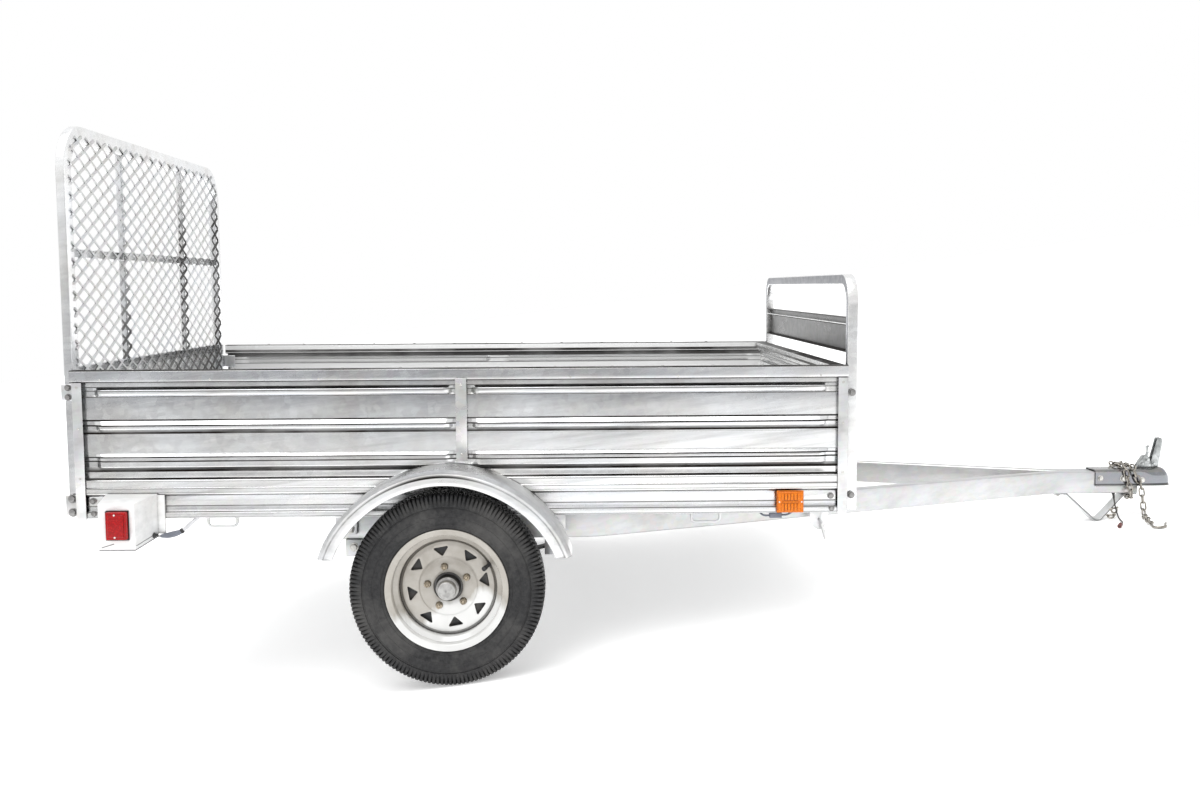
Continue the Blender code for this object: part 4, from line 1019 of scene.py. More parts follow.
TOP_RAIL_BANDS = [(0.8310, 0.8385, 0.10, 0.34), (0.8386, 0.8575, 0.40, 0.48)]
for side, s in SIDES:
    panel = ribbed_panel(f"side_panel_{side}_pressed", "bed", f"side_panel_{side}", 0.785, 0.797, 0.797,
                 [(-0.990, 0.014), (0.058, 1.067)], (POST_BACK + 0.0035, POST_FRONT - 0.0035),
                 lambda x, o, h, s=s: Vector((x, s * o, h)))
    if s > 0:       # a dark band under the top rail, on the inside
        marks = panel.data.attributes["line"].data
        for v in panel.data.vertices:
            if v.co.y < 0.7842 and (LEVEL @ v.co).z > 0.8142:
                marks[v.index].value = 0.95
ribbed_panel("front_panel_pressed", "bed", "front_panel", 1.098, 1.108, 1.108, [(-0.735, 0.735)], (-0.757, 0.757),
             lambda x, o, h: Vector((o, x, h)))

for side, s in SIDES:
    refine(f"bed_side_rail_{side}", "rail", 0.0010, lines=RAIL_LINES, bands=RAIL_BANDS)
    top_rail = refine(f"top_rail_{side}", "rail", 0.0014, lines=TOP_RAIL_LINES + ([(0.8372, 0.0048, 1.0)] if s > 0 else []), bands=TOP_RAIL_BANDS)
    if s > 0:       # the dark strip is on the inner face only
        marks, reach = top_rail.data.attributes["line"].data, [v.co.y for v in top_rail.data.vertices]
        for v in top_rail.data.vertices:
            if v.co.y > min(reach) + 0.003 and 0.8320 < (LEVEL @ v.co).z < 0.8430:
                marks[v.index].value = 0.0
    for end in ("rear", "front"):
        refine(f"corner_post_{end}_{side}", "bracket", 0.0007)
    refine(f"mid_stake_{side}", "bracket", 0.0010)
    bm = bmesh.new()       # lamp bracket: its top falls outwards and its front plate narrows towards the rail
    bm.from_mesh(NODES[f"lamp_bracket_{side}"].data)
    bm.transform(LEVEL)
    bmesh.ops.remove_doubles(bm, verts=bm.verts, dist=0.00002)
    bmesh.ops.dissolve_limit(bm, angle_limit=math.radians(0.6), verts=bm.verts, edges=bm.edges)
    for v in bm.verts:
        if v.co.z > 0.500:
            v.co.z += 0.006 if abs(v.co.y) < 0.83 else -0.006
        elif v.co.z < 0.390:
            v.co.z += -0.005 if abs(v.co.y) > 0.83 or v.co.x < -0.90 else 0.015
    edges = [e for e in bm.edges if e.is_manifold and e.calc_face_angle(0) > math.radians(20)]
    bmesh.ops.bevel(bm, geom=edges, offset=0.0006, segments=2, affect="EDGES", profile=0.5, clamp_overlap=True, loop_slide=True)
    piece(f"lamp_bracket_{side}_folded", "bed", "lamp_plate", bm, 35, node=f"lamp_bracket_{side}", recalc=True)
    bm = bmesh.new()       # its mounting flange
    box(bm, (-0.8240, -0.7960), (s * 0.7955, s * 0.8040), (0.404, 0.513), 0.0008)
    piece(f"lamp_bracket_{side}_flange", "bed", "lamp_plate", bm, 35, recalc=True)
    bm = bmesh.new()       # dark rolled edge round the bottom, with the fold just above it
    wire(bm, [(-0.9560, s * 0.8120, 0.3775), (-0.9448, s * 0.9002, 0.3772), (-0.8472, s * 0.9002, 0.3772), (-0.8160, s * 0.8050, 0.3970)], 0.0013, 8)
    wire(bm, [(-0.8455, s * 0.8960, 0.3890), (-0.8200, s * 0.8190, 0.4050)], 0.0008, 8)
    wire(bm, [(-0.9380, s * 0.9002, 0.3850), (-0.9050, s * 0.9002, 0.3950)], 0.0010, 8)
    piece(f"lamp_bracket_{side}_edge", "bed", "edge", bm, 35, recalc=True)
    refine(f"tilt_bracket_{side}", "bracket", 0.0008)
    refine(f"latch_bracket_{side}", "bracket", 0.0006)
refine("rear_sill", "rail", 0.0010)
refine("front_sill", "rail", 0.0010)
refine("front_top_rail", "rail", 0.0014, lines=[(0.8605, 0.0016, 1.0), (0.8440, 0.0034, 0.9), (0.8285, 0.0014, 1.0)])
for k in range(1, 5):
    refine(f"floor_crossmember_{k}", "floor", 0.0008)
NODES["bed_floor"].data.materials.clear()
NODES["bed_floor"].data.materials.append(M["floor"])

# bolts and rivets of the bed
bm = bmesh.new()
dark_bm = bmesh.new()
for side, s in SIDES:
    out = (0, s, 0)
    for x, z in ((-0.997, 0.496), (-0.994, 0.461), (1.071, 0.493), (1.073, 0.458)):
        hex_bolt(dark_bm, (x, s * 0.7945 if z > 0.47 else s * 0.7985, z), out, 0.0115, 0.0050)
    for x, z in ((-1.0275, 0.560), (-1.0275, 0.700), (-1.0275, 0.815), (1.1025, 0.560), (1.1025, 0.700), (1.1025, 0.815)):
        dome_bolt(bm, (x, s * 0.8030, z), out, 0.0036, 0.0018)
    for z in (0.620, 0.815):
        dome_bolt(bm, (0.0345, s * 0.8060, z), out, 0.0036, 0.0018)
    for x in (-0.964, -0.66, -0.36, 0.34, 0.64, 1.04):
        dome_bolt(bm, (x, s * 0.8000, 0.8345), out, 0.0026, 0.0012)
    for z in (0.498, 0.459):
        hex_bolt(dark_bm, (-1.0660, s * 0.7640, z), out, 0.016, 0.008)
    for z in (0.812, 0.785):
        hex_bolt(dark_bm, (-1.0660, s * 0.7640, z), out, 0.012, 0.006)
    for x, z in ((1.1310, 0.784), (1.1310, 0.493)):
        hex_bolt(dark_bm, (x, s * 0.7850, z), out, 0.013, 0.006)
    for x in (-0.879, -0.739, -0.598, -0.457, -0.296, -0.135, -0.006, 0.135, 0.296, 0.457, 0.598, 0.739, 0.879):
        dome_bolt(dark_bm, (x, s * 0.780, 0.8616), (0, 0, 1), 0.0050, 0.0026)
piece("bed_rivets", "bed", "bolt", bm, 30, recalc=True)
piece("bed_bolts", "bed", "post_bolt", dark_bm, 30, recalc=True)

# tie-downs
for side, s in SIDES:
    for end, x0, x1 in (("rear", -0.684, -0.595), ("front", 0.674, 0.762)):
        bm = bmesh.new()
        loop = rounded([(x0 + 0.004, s * 0.789, 0.4458, 0), (x0 + 0.004, s * 0.789, 0.421), (x1 - 0.004, s * 0.789, 0.421),
                        (x1 - 0.004, s * 0.789, 0.4458, 0)], 0.012, 8)
        wire(bm, loop, 0.004, 14, round_end=False)
        for x in (x0 + 0.004, x1 - 0.004):
            lathe(bm, facing((x, s * 0.789, 0.4462), (0, 0, -1)), [(0.0075, 0), (0.0070, 0.0015), (0.0048, 0.0035), (0.0041, 0.0045)], 14)
        piece(f"tie_down_{end}_{side}_loop", "bed", "mesh", bm, 50, node=f"tie_down_{end}_{side}", recalc=True)

# ------------------------------------------------------------------ front hoop and load stop
HOOP_TOP, HOOP_LOW, HOOP_W, HOOP_X = 1.114, 0.450, 1.570, 1.1335
post = HOOP_W / 2 - 0.0225
bm = bmesh.new()
hoop = rounded([(HOOP_X, -post, HOOP_LOW), (HOOP_X, -post, HOOP_TOP - 0.0120), (HOOP_X, post, HOOP_TOP - 0.0120),
                (HOOP_X, post, HOOP_LOW)], 0.075, 18)
layer = bm.verts.layers.float.new("line")
shade = bm.verts.layers.float.new("shade")
bar(bm, hoop, 0.030, 0.030, (1, 0, 0), 0.0035, 4)
# painted shade on the rear faces, heaviest on the top bar, and a painted dark line along the upper rear
for v in bm.verts:
    if v.co.x < HOOP_X - 0.0149:
        v[shade] = 1.00 if v.co.z > 1.0 else 0.55
        v[layer] = 0.34 if v.co.z > 1.06 else 0.0
piece("front_hoop_bent", "bed", "tube", bm, 40, node="front_hoop", recalc=True)
bm = bmesh.new()
y0, y1 = 0.0120 - post, post - 0.0120
line = round_line([(1.1200, 0.8950), (1.1405, 0.8950), (1.1405, 0.9950), (1.1200, 0.9950)], 0.0028, 4)
inner = round_line([(1.1200, 0.8975), (1.1380, 0.8975), (1.1380, 0.9925), (1.1200, 0.9925)], 0.0010, 4)
ring = line + inner[::-1]
grid(bm, [[Vector((x, y, z)) for x, z in ring] for y in (y0, y1)], ring=True, caps=True)
for y in (y0, y1):
    for z in (0.897, 0.993):
        weld_bead(bm, (1.122, y * 0.9995, z), (1.139, y * 0.9995, z), 0.0022, 3)
paint_shade_lines(bm, [(0.9930, 0.0014, 0.70), (0.9700, 0.0012, 0.75), (0.8975, 0.0020, 0.95)])
piece("load_stop_channel", "bed", "stop", bm, 40, recalc=True)
bm = bmesh.new()
box(bm, (1.1192, 1.1206), (y0 + 0.004, y1 - 0.004), (0.9735, 0.9765), 0.0005, 1)      # bright rolled edge
for y in (-post, post):
    for z in (1.085, 1.063, 1.040):
        dome_bolt(bm, (HOOP_X - 0.0150, y, z), (-1, 0, 0), 0.0036, 0.0012)
piece("load_stop_edge", "bed", "tube", bm, 40, recalc=True)

# ------------------------------------------------------------------ fenders
FENDER_R, FENDER_END, FENDER_X, FENDER_FLARE = 0.329, 15.2, -0.004, 0.093
for side, s in SIDES:
    outer = (round_line([(0.8015, 0.306), (0.8015, FENDER_R), (0.9330, FENDER_R), (0.9560, 0.3190), (0.9566, 0.3155)], 0.0085, 6)
             + [(0.9570, 0.3141), (0.9556, 0.3124), (0.9571, 0.3107), (0.9576, 0.3092), (0.9580, 0.3000), (0.9585, 0.2920)])
    lip = [(0.9585, 0.2905), (0.9578, 0.2892), (0.9562, 0.2888), (0.9550, 0.2898), (0.9549, 0.2925)]
    inner = [(0.9562, 0.2930), (0.9540, 0.3175), (0.9500, 0.3215), (0.9320, 0.3270), (0.8037, 0.3270), (0.8037, 0.3060)]
    ring = outer + lip[1:] + inner
    bm = bmesh.new()
    rows = []
    steps, spare = 100, 3.0
    turns = [FENDER_END - spare + (180 - 2 * (FENDER_END - spare)) * k / steps for k in range(steps + 1)]
    for turn in turns:
        a = math.radians(turn)
        flare = 1 + FENDER_FLARE * abs(math.cos(a)) ** 3.2
        rows.append([Vector((FENDER_X + r * flare * math.cos(a), s * y, WHEEL_R + r * flare * math.sin(a))) for y, r in ring])
    layer = bm.verts.layers.float.new("line")
    shade = bm.verts.layers.float.new("shade")
    made = grid(bm, rows, ring=True, caps=False)
    for turn, row in zip(turns, made):
        near = math.exp(-((turn - 97) / 26) ** 2)
        for v, (y, r) in zip(row, ring):
            out_side = y > 0.95
            crease = (0.30 + 0.70 * near) if 0.3105 < r < 0.3143 and out_side else 0.0
            over = near * max(0.0, 0.95 - (r - 0.3143) / 0.0100 * 0.75) if 0.3143 <= r < 0.3243 and y > 0.94 else 0.0
            lip_dirt = 0.40 if r < 0.2915 and out_side else 0.0
            v[layer] = max(crease, over, lip_dirt)
            v[shade] = (0.42 * near + 0.08) if r > 0.3205 and y > 0.90 else 0.0
    # both ends are cut level
    bmesh.ops.bisect_plane(bm, geom=bm.verts[:] + bm.edges[:] + bm.faces[:], dist=0.00002,
                           plane_co=Vector((0, 0, 0.3560)), plane_no=Vector((0, 0, -1)), clear_outer=True)
    ends = [e for e in bm.edges if e.is_boundary]
    bmesh.ops.edgeloop_fill(bm, edges=ends)
    for v in {v for e in ends for v in e.verts}:
        if abs(v.co.y) > 0.93:
            v[layer] = 0.65
    piece(f"fender_{side}_rolled", "bed", "fender", bm, 40, node=f"fender_{side}", recalc=True)
    # gusset plates that carry the fender's ends from the bed's rail
    bm = bmesh.new()
    for way in (-1, 1):
        line = [(way * 0.250, 0.446), (way * 0.322, 0.446), (way * 0.322, 0.400), (way * 0.300, 0.385)]
        place = Matrix(((1, 0, 0, 0), (0, 0, 1, s * 0.8040), (0, 1, 0, 0), (0, 0, 0, 1)))
        prism(bm, line if way > 0 else line[::-1], place, 0.0025, 0.0006)
        dome_bolt(bm, (way * 0.300, s * 0.8053, 0.430), (0, s, 0), 0.006, 0.003)
    piece(f"fender_gussets_{side}", "bed", "bracket", bm, 30, recalc=True)

# ------------------------------------------------------------------ lamps
for side, s in SIDES:
    x0, x1, z0, z1 = -0.9205, -0.8645, 0.4090, 0.4845
    bm = bmesh.new()       # housing behind the plates
    box(bm, (-0.9405, -0.8525), (s * 0.8200, s * 0.8966), (0.401, 0.496), 0.004)
    piece(f"tail_lamp_{side}_housing", "bed", "black", bm, 30, recalc=True)
    bm = bmesh.new()
    box(bm, (x0, x1), (s * 0.8900, s * 0.9170), (z0, z1), 0.0035, 3)
    box(bm, (x0 + 0.006, x1 - 0.006), (s * 0.9100, s * 0.9205), (z0 + 0.007, z1 - 0.007), 0.0030, 3)
    for k in range(8):
        z = z0 + 0.0125 + k * 0.0067
        box(bm, (x0 + 0.010, x1 - 0.010), (s * 0.9190, s * 0.92085), (z, z + 0.0032), 0.0006, 1)
    swing = Matrix.Rotation(-s * math.atan2(0.012, 0.0965), 4, "Z")
    hold = Matrix.Translation((-0.9511, s * 0.85175, 0)) @ swing
    before = set(bm.verts)
    box(bm, (-0.0040, 0.0120), (-0.0285, 0.0285), (z0, z1), 0.0025, 3)
    for k in range(9):
        z = z0 + 0.0085 + k * 0.0067
        box(bm, (-0.0048, -0.0030), (-0.0230, 0.0230), (z, z + 0.0032), 0.0005, 1)
    for v in bm.verts:
        if v not in before:
            v.co = hold @ v.co
    piece(f"tail_lamp_{side}_lens", "bed", "red", bm, 30, node=f"tail_lamp_{side}", recalc=True)
    bm = bmesh.new()
    for x, z in ((-0.8950, 0.4770), (-0.8950, 0.4165)):
        dome_bolt(bm, (x, s * 0.9196, z), (0, s, 0), 0.0027, 0.0014)
    for z in (0.4770, 0.4165):
        dome_bolt(bm, hold @ Vector((-0.0038, 0, z)), swing @ Vector((-1, 0, 0)), 0.0027, 0.0014)
    piece(f"tail_lamp_{side}_screws", "bed", "white", bm, 40, recalc=True)
    bm = bmesh.new()       # black gasket round the side lens
    line = [(x0 - 0.0016, z0 - 0.0016), (x1 + 0.0016, z0 - 0.0016), (x1 + 0.0016, z1 + 0.0016), (x0 - 0.0016, z1 + 0.0016)]
    wire(bm, [(x, s * 0.9008, z) for x, z in line], 0.0017, 8, closed=True)
    piece(f"tail_lamp_{side}_gasket", "bed", "black", bm, 40, recalc=True)
    # marker lamp: base, lens with two domes and a bar between them
    bm = bmesh.new()
    box(bm, (0.917, 0.993), (s * 0.8005, s * 0.8065), (0.4475, 0.510), 0.002)
    box(bm, (0.920, 0.990), (s * 0.8060, s * 0.8125), (0.4505, 0.507), 0.003, 3)
    for z, hh in ((0.4648, 0.0105), (0.4930, 0.0095)):
        for k in range(6):
            box(bm, (0.9285 + k * 0.0090, 0.9365 + k * 0.0090), (s * 0.8110, s * 0.8150), (z - hh, z + hh), 0.0016, 2)
    box(bm, (0.934, 0.976), (s * 0.8115, s * 0.8147), (0.4768, 0.4812), 0.0012, 2)
    piece(f"side_marker_{side}_lens", "bed", "amber", bm, 30, node=f"side_marker_{side}", recalc=True)
    bm = bmesh.new()
    for x in (0.9235, 0.9865):
        dome_bolt(bm, (x, s * 0.8122, 0.4788), (0, s, 0), 0.0022, 0.0011)
    piece(f"side_marker_{side}_screws", "bed", "white", bm, 40, recalc=True)

# connectors and sheathed wires under the bed's rails
for side, s in SIDES:
    bm = bmesh.new()
    box(bm, (0.899, 0.934), (s * 0.7800, s * 0.7940), (0.4300, 0.4450), 0.0020)
    wire(bm, smooth_path([(0.934, s * 0.787, 0.438), (0.948, s * 0.787, 0.4385), (0.958, s * 0.786, 0.4425), (0.966, s * 0.784, 0.4470)], 0.004), 0.0028, 8)
    wire(bm, smooth_path([(0.899, s * 0.787, 0.437), (0.888, s * 0.787, 0.4365), (0.878, s * 0.785, 0.4400), (0.872, s * 0.783, 0.4465)], 0.004), 0.0028, 8)
    piece(f"marker_connector_{side}", "bed", "grey", bm, 40, recalc=True)
    bm = bmesh.new()
    route = smooth_path([(-0.826, s * 0.822, 0.4020), (-0.805, s * 0.812, 0.3990), (-0.780, s * 0.803, 0.4010), (-0.754, s * 0.797, 0.4090),
                         (-0.732, s * 0.791, 0.4270), (-0.708, s * 0.786, 0.4480)], 0.002)
    far = [(Vector(q) - Vector(route[0])).length for q in route]
    body_part = [Vector(q) for q, d in zip(route, far) if 0.020 <= d <= 0.079]
    count = len(body_part) - 1
    wire(bm, body_part, [0.0028 + 0.0058 * math.sin(math.pi * min(1.0, 0.06 + k / count * 0.80)) ** 0.75 for k in range(count + 1)], 14)
    piece(f"lamp_wire_connector_{side}", "bed", "grey", bm, 40, recalc=True)
    bm = bmesh.new()
    wire(bm, [Vector(q) for q, d in zip(route, far) if 0.012 <= d <= 0.022], 0.0020, 8)
    lathe(bm, facing(Vector(route[0]) + Vector((0.0015, 0, 0.001)), (0.93, -s * 0.37, 0)),
          [(0.0085, -0.002), (0.0085, 0.003), (0.0050, 0.0075), (0.0032, 0.0140)], 16)
    a_, b_ = body_part[-1], body_part[-2]
    wire(bm, [b_, a_, a_ + (a_ - b_).normalized() * 0.003], 0.0076, 14)
    piece(f"lamp_wire_grommet_{side}", "bed", "black", bm, 40, recalc=True)
    bm = bmesh.new()
    wire(bm, [Vector(q) for q, d in zip(route, far) if d >= 0.079], 0.0055, 12)
    piece(f"lamp_wire_sleeve_{side}", "bed", "sleeve", bm, 40, recalc=True)

# ------------------------------------------------------------------ ramp gate
GATE_X, GATE_TOP, GATE_LOW, GATE_W = -1.0662, 1.5485, 0.4475, 1.510
UPRIGHTS = (-0.2975, 0.2975)
GATE_T, GATE_TUBE, GATE_MID, GATE_SILL = 0.025, 0.050, 1.1875, 0.8555
post = GATE_W / 2 - GATE_TUBE / 2
top = GATE_TOP - GATE_TUBE / 2
bm = bmesh.new()
line = rounded([(GATE_X, -post, GATE_LOW), (GATE_X, -post, top), (GATE_X, post, top), (GATE_X, post, GATE_LOW)], 0.110, 22)
bar(bm, line, GATE_TUBE, GATE_T, (1, 0, 0), 0.0035, 4)
inside = post - GATE_TUBE / 2
for z in (GATE_LOW + 0.0130, GATE_SILL, GATE_MID):
    lip = round_line([(0.0122, 0.0125), (-0.0122, 0.0125), (-0.0122, -0.0125), (0.0122, -0.0125)], 0.0025, 4)
    inn = round_line([(0.0122, 0.0105), (-0.0102, 0.0105), (-0.0102, -0.0105), (0.0122, -0.0105)], 0.0008, 4)
    ring = lip + inn[::-1]
    grid(bm, [[Vector((GATE_X + a, y, z + b)) for a, b in ring] for y in (-inside - 0.001, inside + 0.001)], ring=True, caps=True)
for y in UPRIGHTS:
    bar(bm, [(GATE_X, y, GATE_SILL), (GATE_X, y, GATE_TOP - GATE_TUBE + 0.001)], 0.016, 0.016, (1, 0, 0), 0.0018, 3)
for z in (1.02, GATE_MID + 0.002):
    bmesh.ops.bisect_plane(bm, geom=bm.verts[:] + bm.edges[:] + bm.faces[:], dist=0.00005, plane_co=Vector((0, 0, z)), plane_no=Vector((0, 0, 1)))
layer = bm.verts.layers.float.new("line")
shade = bm.verts.layers.float.new("shade")
for v in bm.verts:       # painted shade that deepens downwards, and painted dark lines along the outer corners
    low = max(0.0, min(1.0, (1.36 - v.co.z) / 0.50))
    v[shade] = (0.36 if v.co.z > 0.95 or abs(v.co.y) > 0.60 else 0.10) * low
    if abs(v.co.y) > GATE_W / 2 - 0.0013 - 0.0001 and v.co.x < GATE_X - GATE_T / 2 + 0.0018:
        v[layer] = 0.55
for s in (-1, 1):      # welds at the cross bars
    for z in (GATE_SILL, GATE_MID):
        for dz in (-0.0125, 0.0125):
            weld_bead(bm, (GATE_X - 0.010, s * inside, z + dz), (GATE_X + 0.010, s * inside, z + dz), 0.0022, int(z * 100))
piece("gate_frame_bent", "ramp_gate", "gate_tube", bm, 40, node="gate_frame", recalc=True)
refine("gate_panel", "panel", 0.0006)

# expanded mesh: zigzag strands, each joined to the next at its flats
LWD, SWD = 0.0922, 0.0460
bm = bmesh.new()
mesh_x = GATE_X + GATE_T / 2 + 0.0013
y_lo, y_hi, z_lo, z_hi, corner = -0.725, 0.725, 0.452, 1.5220, 0.085


def inside_sheet(y, z):
    if not (y_lo <= y <= y_hi and z_lo <= z <= z_hi):
        return False
    dy, dz = abs(y) - (y_hi - corner), z - (z_hi - corner)
    return not (dy > 0 and dz > 0 and math.hypot(dy, dz) > corner)


strand, thick, bond = 0.0078, 0.0030, 0.0120
rows_n = int((z_hi - z_lo) / (SWD / 2)) + 1
phase = 0.590 % LWD
for r in range(rows_n):
    z_mid = z_lo + 0.006 + r * SWD / 2
    pts = []
    k = -1
    start = y_lo - LWD
    y = math.floor((y_lo - phase) / (LWD / 2)) * (LWD / 2) + phase
    j = int(round((y - phase) / (LWD / 2)))
    while y < y_hi + LWD:
        peak = (j + r) % 2 == 0
        dz = (SWD / 4 - strand * 0.42) * (1 if peak else -1)
        for e in (-bond / 2, bond / 2):
            pts.append((y + e, z_mid + dz, peak))
        y += LWD / 2
        j += 1
    # split the line where it leaves the sheet
    fine = []
    for (ya, za, _), (yb, zb, _) in zip(pts, pts[1:]):
        n = 8
        for q in range(n):
            t = q / n
            fine.append((ya + (yb - ya) * t, za + (zb - za) * t, q == 0))
    run = []
    runs = []
    for ya, za, keep in fine:
        if inside_sheet(ya, za):
            run.append((ya, za, keep))
        else:
            if len(run) > 3:
                runs.append(run)
            run = []
    if len(run) > 3:
        runs.append(run)
    for run in runs:
        line = [run[0]] + [p for p in run[1:-1] if p[2]] + [run[-1]]
        clean = [line[0]]
        for p in line[1:]:
            if abs(p[0] - clean[-1][0]) > 0.002:
                clean.append(p)
        if len(clean) < 2:
            continue
        rows = []
        for i, (ya, za, _) in enumerate(clean):
            a = Vector((clean[i - 1][0], clean[i - 1][1])) if i else None
            b = Vector((ya, za))
            c = Vector((clean[i + 1][0], clean[i + 1][1])) if i < len(clean) - 1 else None
            way = ((b - a).normalized() if a is not None else Vector((0, 0))) + ((c - b).normalized() if c is not None else Vector((0, 0)))
            way.normalize()
            up2 = Vector((-way.y, way.x))
            tilt = 0.0007
            w, h = strand / 2, thick / 2
            section = [(-h + tilt, -w), (h + tilt, -w), (h - tilt, w), (-h - tilt, w)]
            rows.append([Vector((mesh_x + dx, ya + up2.x * q, za + up2.y * q)) for dx, q in section])
        grid(bm, rows, ring=True, caps=True)
# painted shade and reflection on the strands where the sheet lies on the frame: over the uprights, the middle bar, the
# lower panel and the far post
near = [("y", u + e) for u in UPRIGHTS for e in (-0.0700, -0.0680, 0.0130, 0.0150)] + [("y", e) for e in (0.630, 0.632)]
near += [("z", GATE_MID + e) for e in (-0.0150, -0.0130, 0.0130, 0.0150)] + [("z", GATE_SILL + e) for e in (0.0130, 0.0150)]
for axis, at in near:
    normal = Vector((0, 1, 0)) if axis == "y" else Vector((0, 0, 1))
    bmesh.ops.bisect_plane(bm, geom=bm.verts[:] + bm.edges[:] + bm.faces[:], dist=0.00003, plane_co=normal * at, plane_no=normal)
layer = bm.verts.layers.float.new("line")
for v in bm.verts:
    y, z = v.co.y, v.co.z
    across = max(0.0, min(1.0, (y + 0.42) / 0.60))
    if z < GATE_SILL + 0.0135:
        v[layer] = 0.05 + 0.70 * across
    elif y > 0.6315:
        v[layer] = 0.93 * max(0.35, min(1.0, (1.54 - z) / 0.20))
    elif min(max(u - 0.0685 - y, y - u - 0.0135) for u in UPRIGHTS) < 0:
        v[layer] = 0.93 * max(0.12, min(1.0, ((1.50 if y > 0 else 1.34) - z) / (0.25 if y > 0 else 0.40)))
    elif abs(z - GATE_MID) < 0.0135:
        v[layer] = 0.08 + 0.60 * max(0.0, min(1.0, (y + 0.10) / 0.60))
piece("gate_mesh_expanded", "ramp_gate", "mesh", bm, 30, node="gate_mesh", recalc=True)
bm = bmesh.new()       # tack welds of the mesh to the frame
rnd = random.Random(7)
for s in (-1, 1):
    z = 0.475
    while z < 1.46:
        y = s * (inside + 0.004)
        lathe(bm, facing((mesh_x - 0.0004, y, z), (1, 0, 0)), [(0.0052, 0), (0.0046, 0.0014), (0.0026, 0.0024), (0.0008, 0.0027)], 10)
        z += SWD * (1.0 + 0.06 * (rnd.random() - 0.5))
piece("gate_tack_welds", "ramp_gate", "gate_tube", bm, 60, recalc=True)

# ------------------------------------------------------------------ chassis
for side, s in SIDES:
    refine(f"chassis_rail_{side}", "chassis", 0.0012)
    refine(f"leaf_spring_{side}", "spring", 0.0008)
refine("axle_beam", "chassis", 0.0010)
refine("chassis_crossmember_rear", "chassis", 0.0010)
refine("chassis_crossmember_front", "chassis", 0.0010)

# V stand, from the strap's own curve
flange = 0.3655 - 0.0063
apex = FOOT_Z - FOOT_R
for _ in range(5):
    strap = rounded([(2.006, 0, flange, 0), (2.044, 0, flange, 0.008), (FOOT_X, 0, apex, FOOT_R),
                     (2.251, 0, flange, 0.008), (2.289, 0, flange, 0)], 0.01, 12)
    apex += FOOT_Z - FOOT_R - min(p.z for p in strap)
bm = bmesh.new()
rows = []
for i, p in enumerate(strap):
    a = strap[max(i - 1, 0)]
    b = strap[min(i + 1, len(strap) - 1)]
    way = (b - a).normalized()
    nrm = Vector((-way.z, 0, way.x))
    e = 0.0012
    section = [(-0.0255 + e, 0), (0.0255 - e, 0), (0.0255, e), (0.0255, 0.006 - e), (0.0255 - e, 0.006), (-0.0255 + e, 0.006), (-0.0255, 0.006 - e), (-0.0255, e)]
    rows.append([p + Vector((0, y, 0)) + nrm * h for y, h in section])
layer = bm.verts.layers.float.new("line")
grid(bm, rows, ring=True, caps=True)
for v in bm.verts:
    if abs(v.co.y) > 0.0254:
        v[layer] = 0.55
piece("tongue_stand_strap", "chassis", "bracket", bm, 35, node="tongue_stand", recalc=True)

# coupler: pressed channel that closes to a domed socket, with a turned-out lower edge
bm = bmesh.new()
CL, CT = 0.3910, 0.4475


def coupler_half(x):
    """Half width at x."""
    if x < 2.290:
        return 0.0435
    t = (x - 2.290) / (2.368 - 2.290)
    if x < 2.368:
        return 0.0435 + (0.0385 - 0.0435) * t
    d = min(x - 2.368, 0.0379)
    return math.sqrt(max(0.0385 ** 2 - d * d, 1e-6))


def coupler_top(x):
    """Height of the crown at x: it dips, then rises over the ball."""
    base = CT
    if x < 2.31:
        return base
    d = (x - 2.364) / 0.040
    return base - 0.004 * min(1, (x - 2.31) / 0.02) + 0.0088 * math.exp(-d * d * 1.4)


xs = [2.137, 2.1375, 2.16, 2.20, 2.25, 2.29, 2.305, 2.32, 2.335, 2.345, 2.355, 2.365, 2.375, 2.383, 2.390, 2.396, 2.401, 2.4045]
rows = []
for x in xs:
    w, t = coupler_half(x), coupler_top(x)
    end = max(0.0, (x - 2.368) / 0.0379)
    t = CL + 0.004 + (t - CL - 0.004) * math.sqrt(max(0.0, 1 - 0.80 * end ** 2.4))
    r = min(0.0075 + 0.020 * max(0, min(1, (x - 2.30) / 0.05)), w * 0.92, (t - CL) * 0.55)
    pts = []
    flange_w = 0.0022 if x < 2.30 else 0.0022 + 0.0045 * min(1, (x - 2.30) / 0.03)
    left = [(-(w + flange_w), CL), (-(w + flange_w), CL + 0.0025), (-(w + 0.0008), CL + 0.0036), (-w, CL + 0.0060)]
    arc_l = [(-(w - r) - r * math.cos(math.radians(90 * k / 6)), t - r + r * math.sin(math.radians(90 * k / 6))) for k in range(7)]
    top_line = left + arc_l
    whole = top_line + [(-y, z) for y, z in reversed(top_line)]
    rows.append([Vector((x, y, z)) for y, z in whole])
# inner skin
inner_rows = []
for row, x in zip(rows, xs):
    inner_rows.append([Vector((min(p.x, 2.4015), p.y * (0.0400 / 0.0435), max(CL, CL + (p.z - CL) * 0.935))) for p in row])
out = [[bm.verts.new(p) for p in row] for row in rows]
inn = [[bm.verts.new(p) for p in row] for row in inner_rows]
m = len(rows[0])
for i in range(len(xs) - 1):
    for j in range(m - 1):
        bm.faces.new((out[i][j], out[i][j + 1], out[i + 1][j + 1], out[i + 1][j]))
        bm.faces.new((inn[i][j], inn[i + 1][j], inn[i + 1][j + 1], inn[i][j + 1]))
    bm.faces.new((out[i][0], out[i + 1][0], inn[i + 1][0], inn[i][0]))
    bm.faces.new((out[i][-1], inn[i][-1], inn[i + 1][-1], out[i + 1][-1]))
for j in range(m - 1):
    bm.faces.new((out[0][j], inn[0][j], inn[0][j + 1], out[0][j + 1]))
    bm.faces.new((out[-1][j], out[-1][j + 1], inn[-1][j + 1], inn[-1][j]))
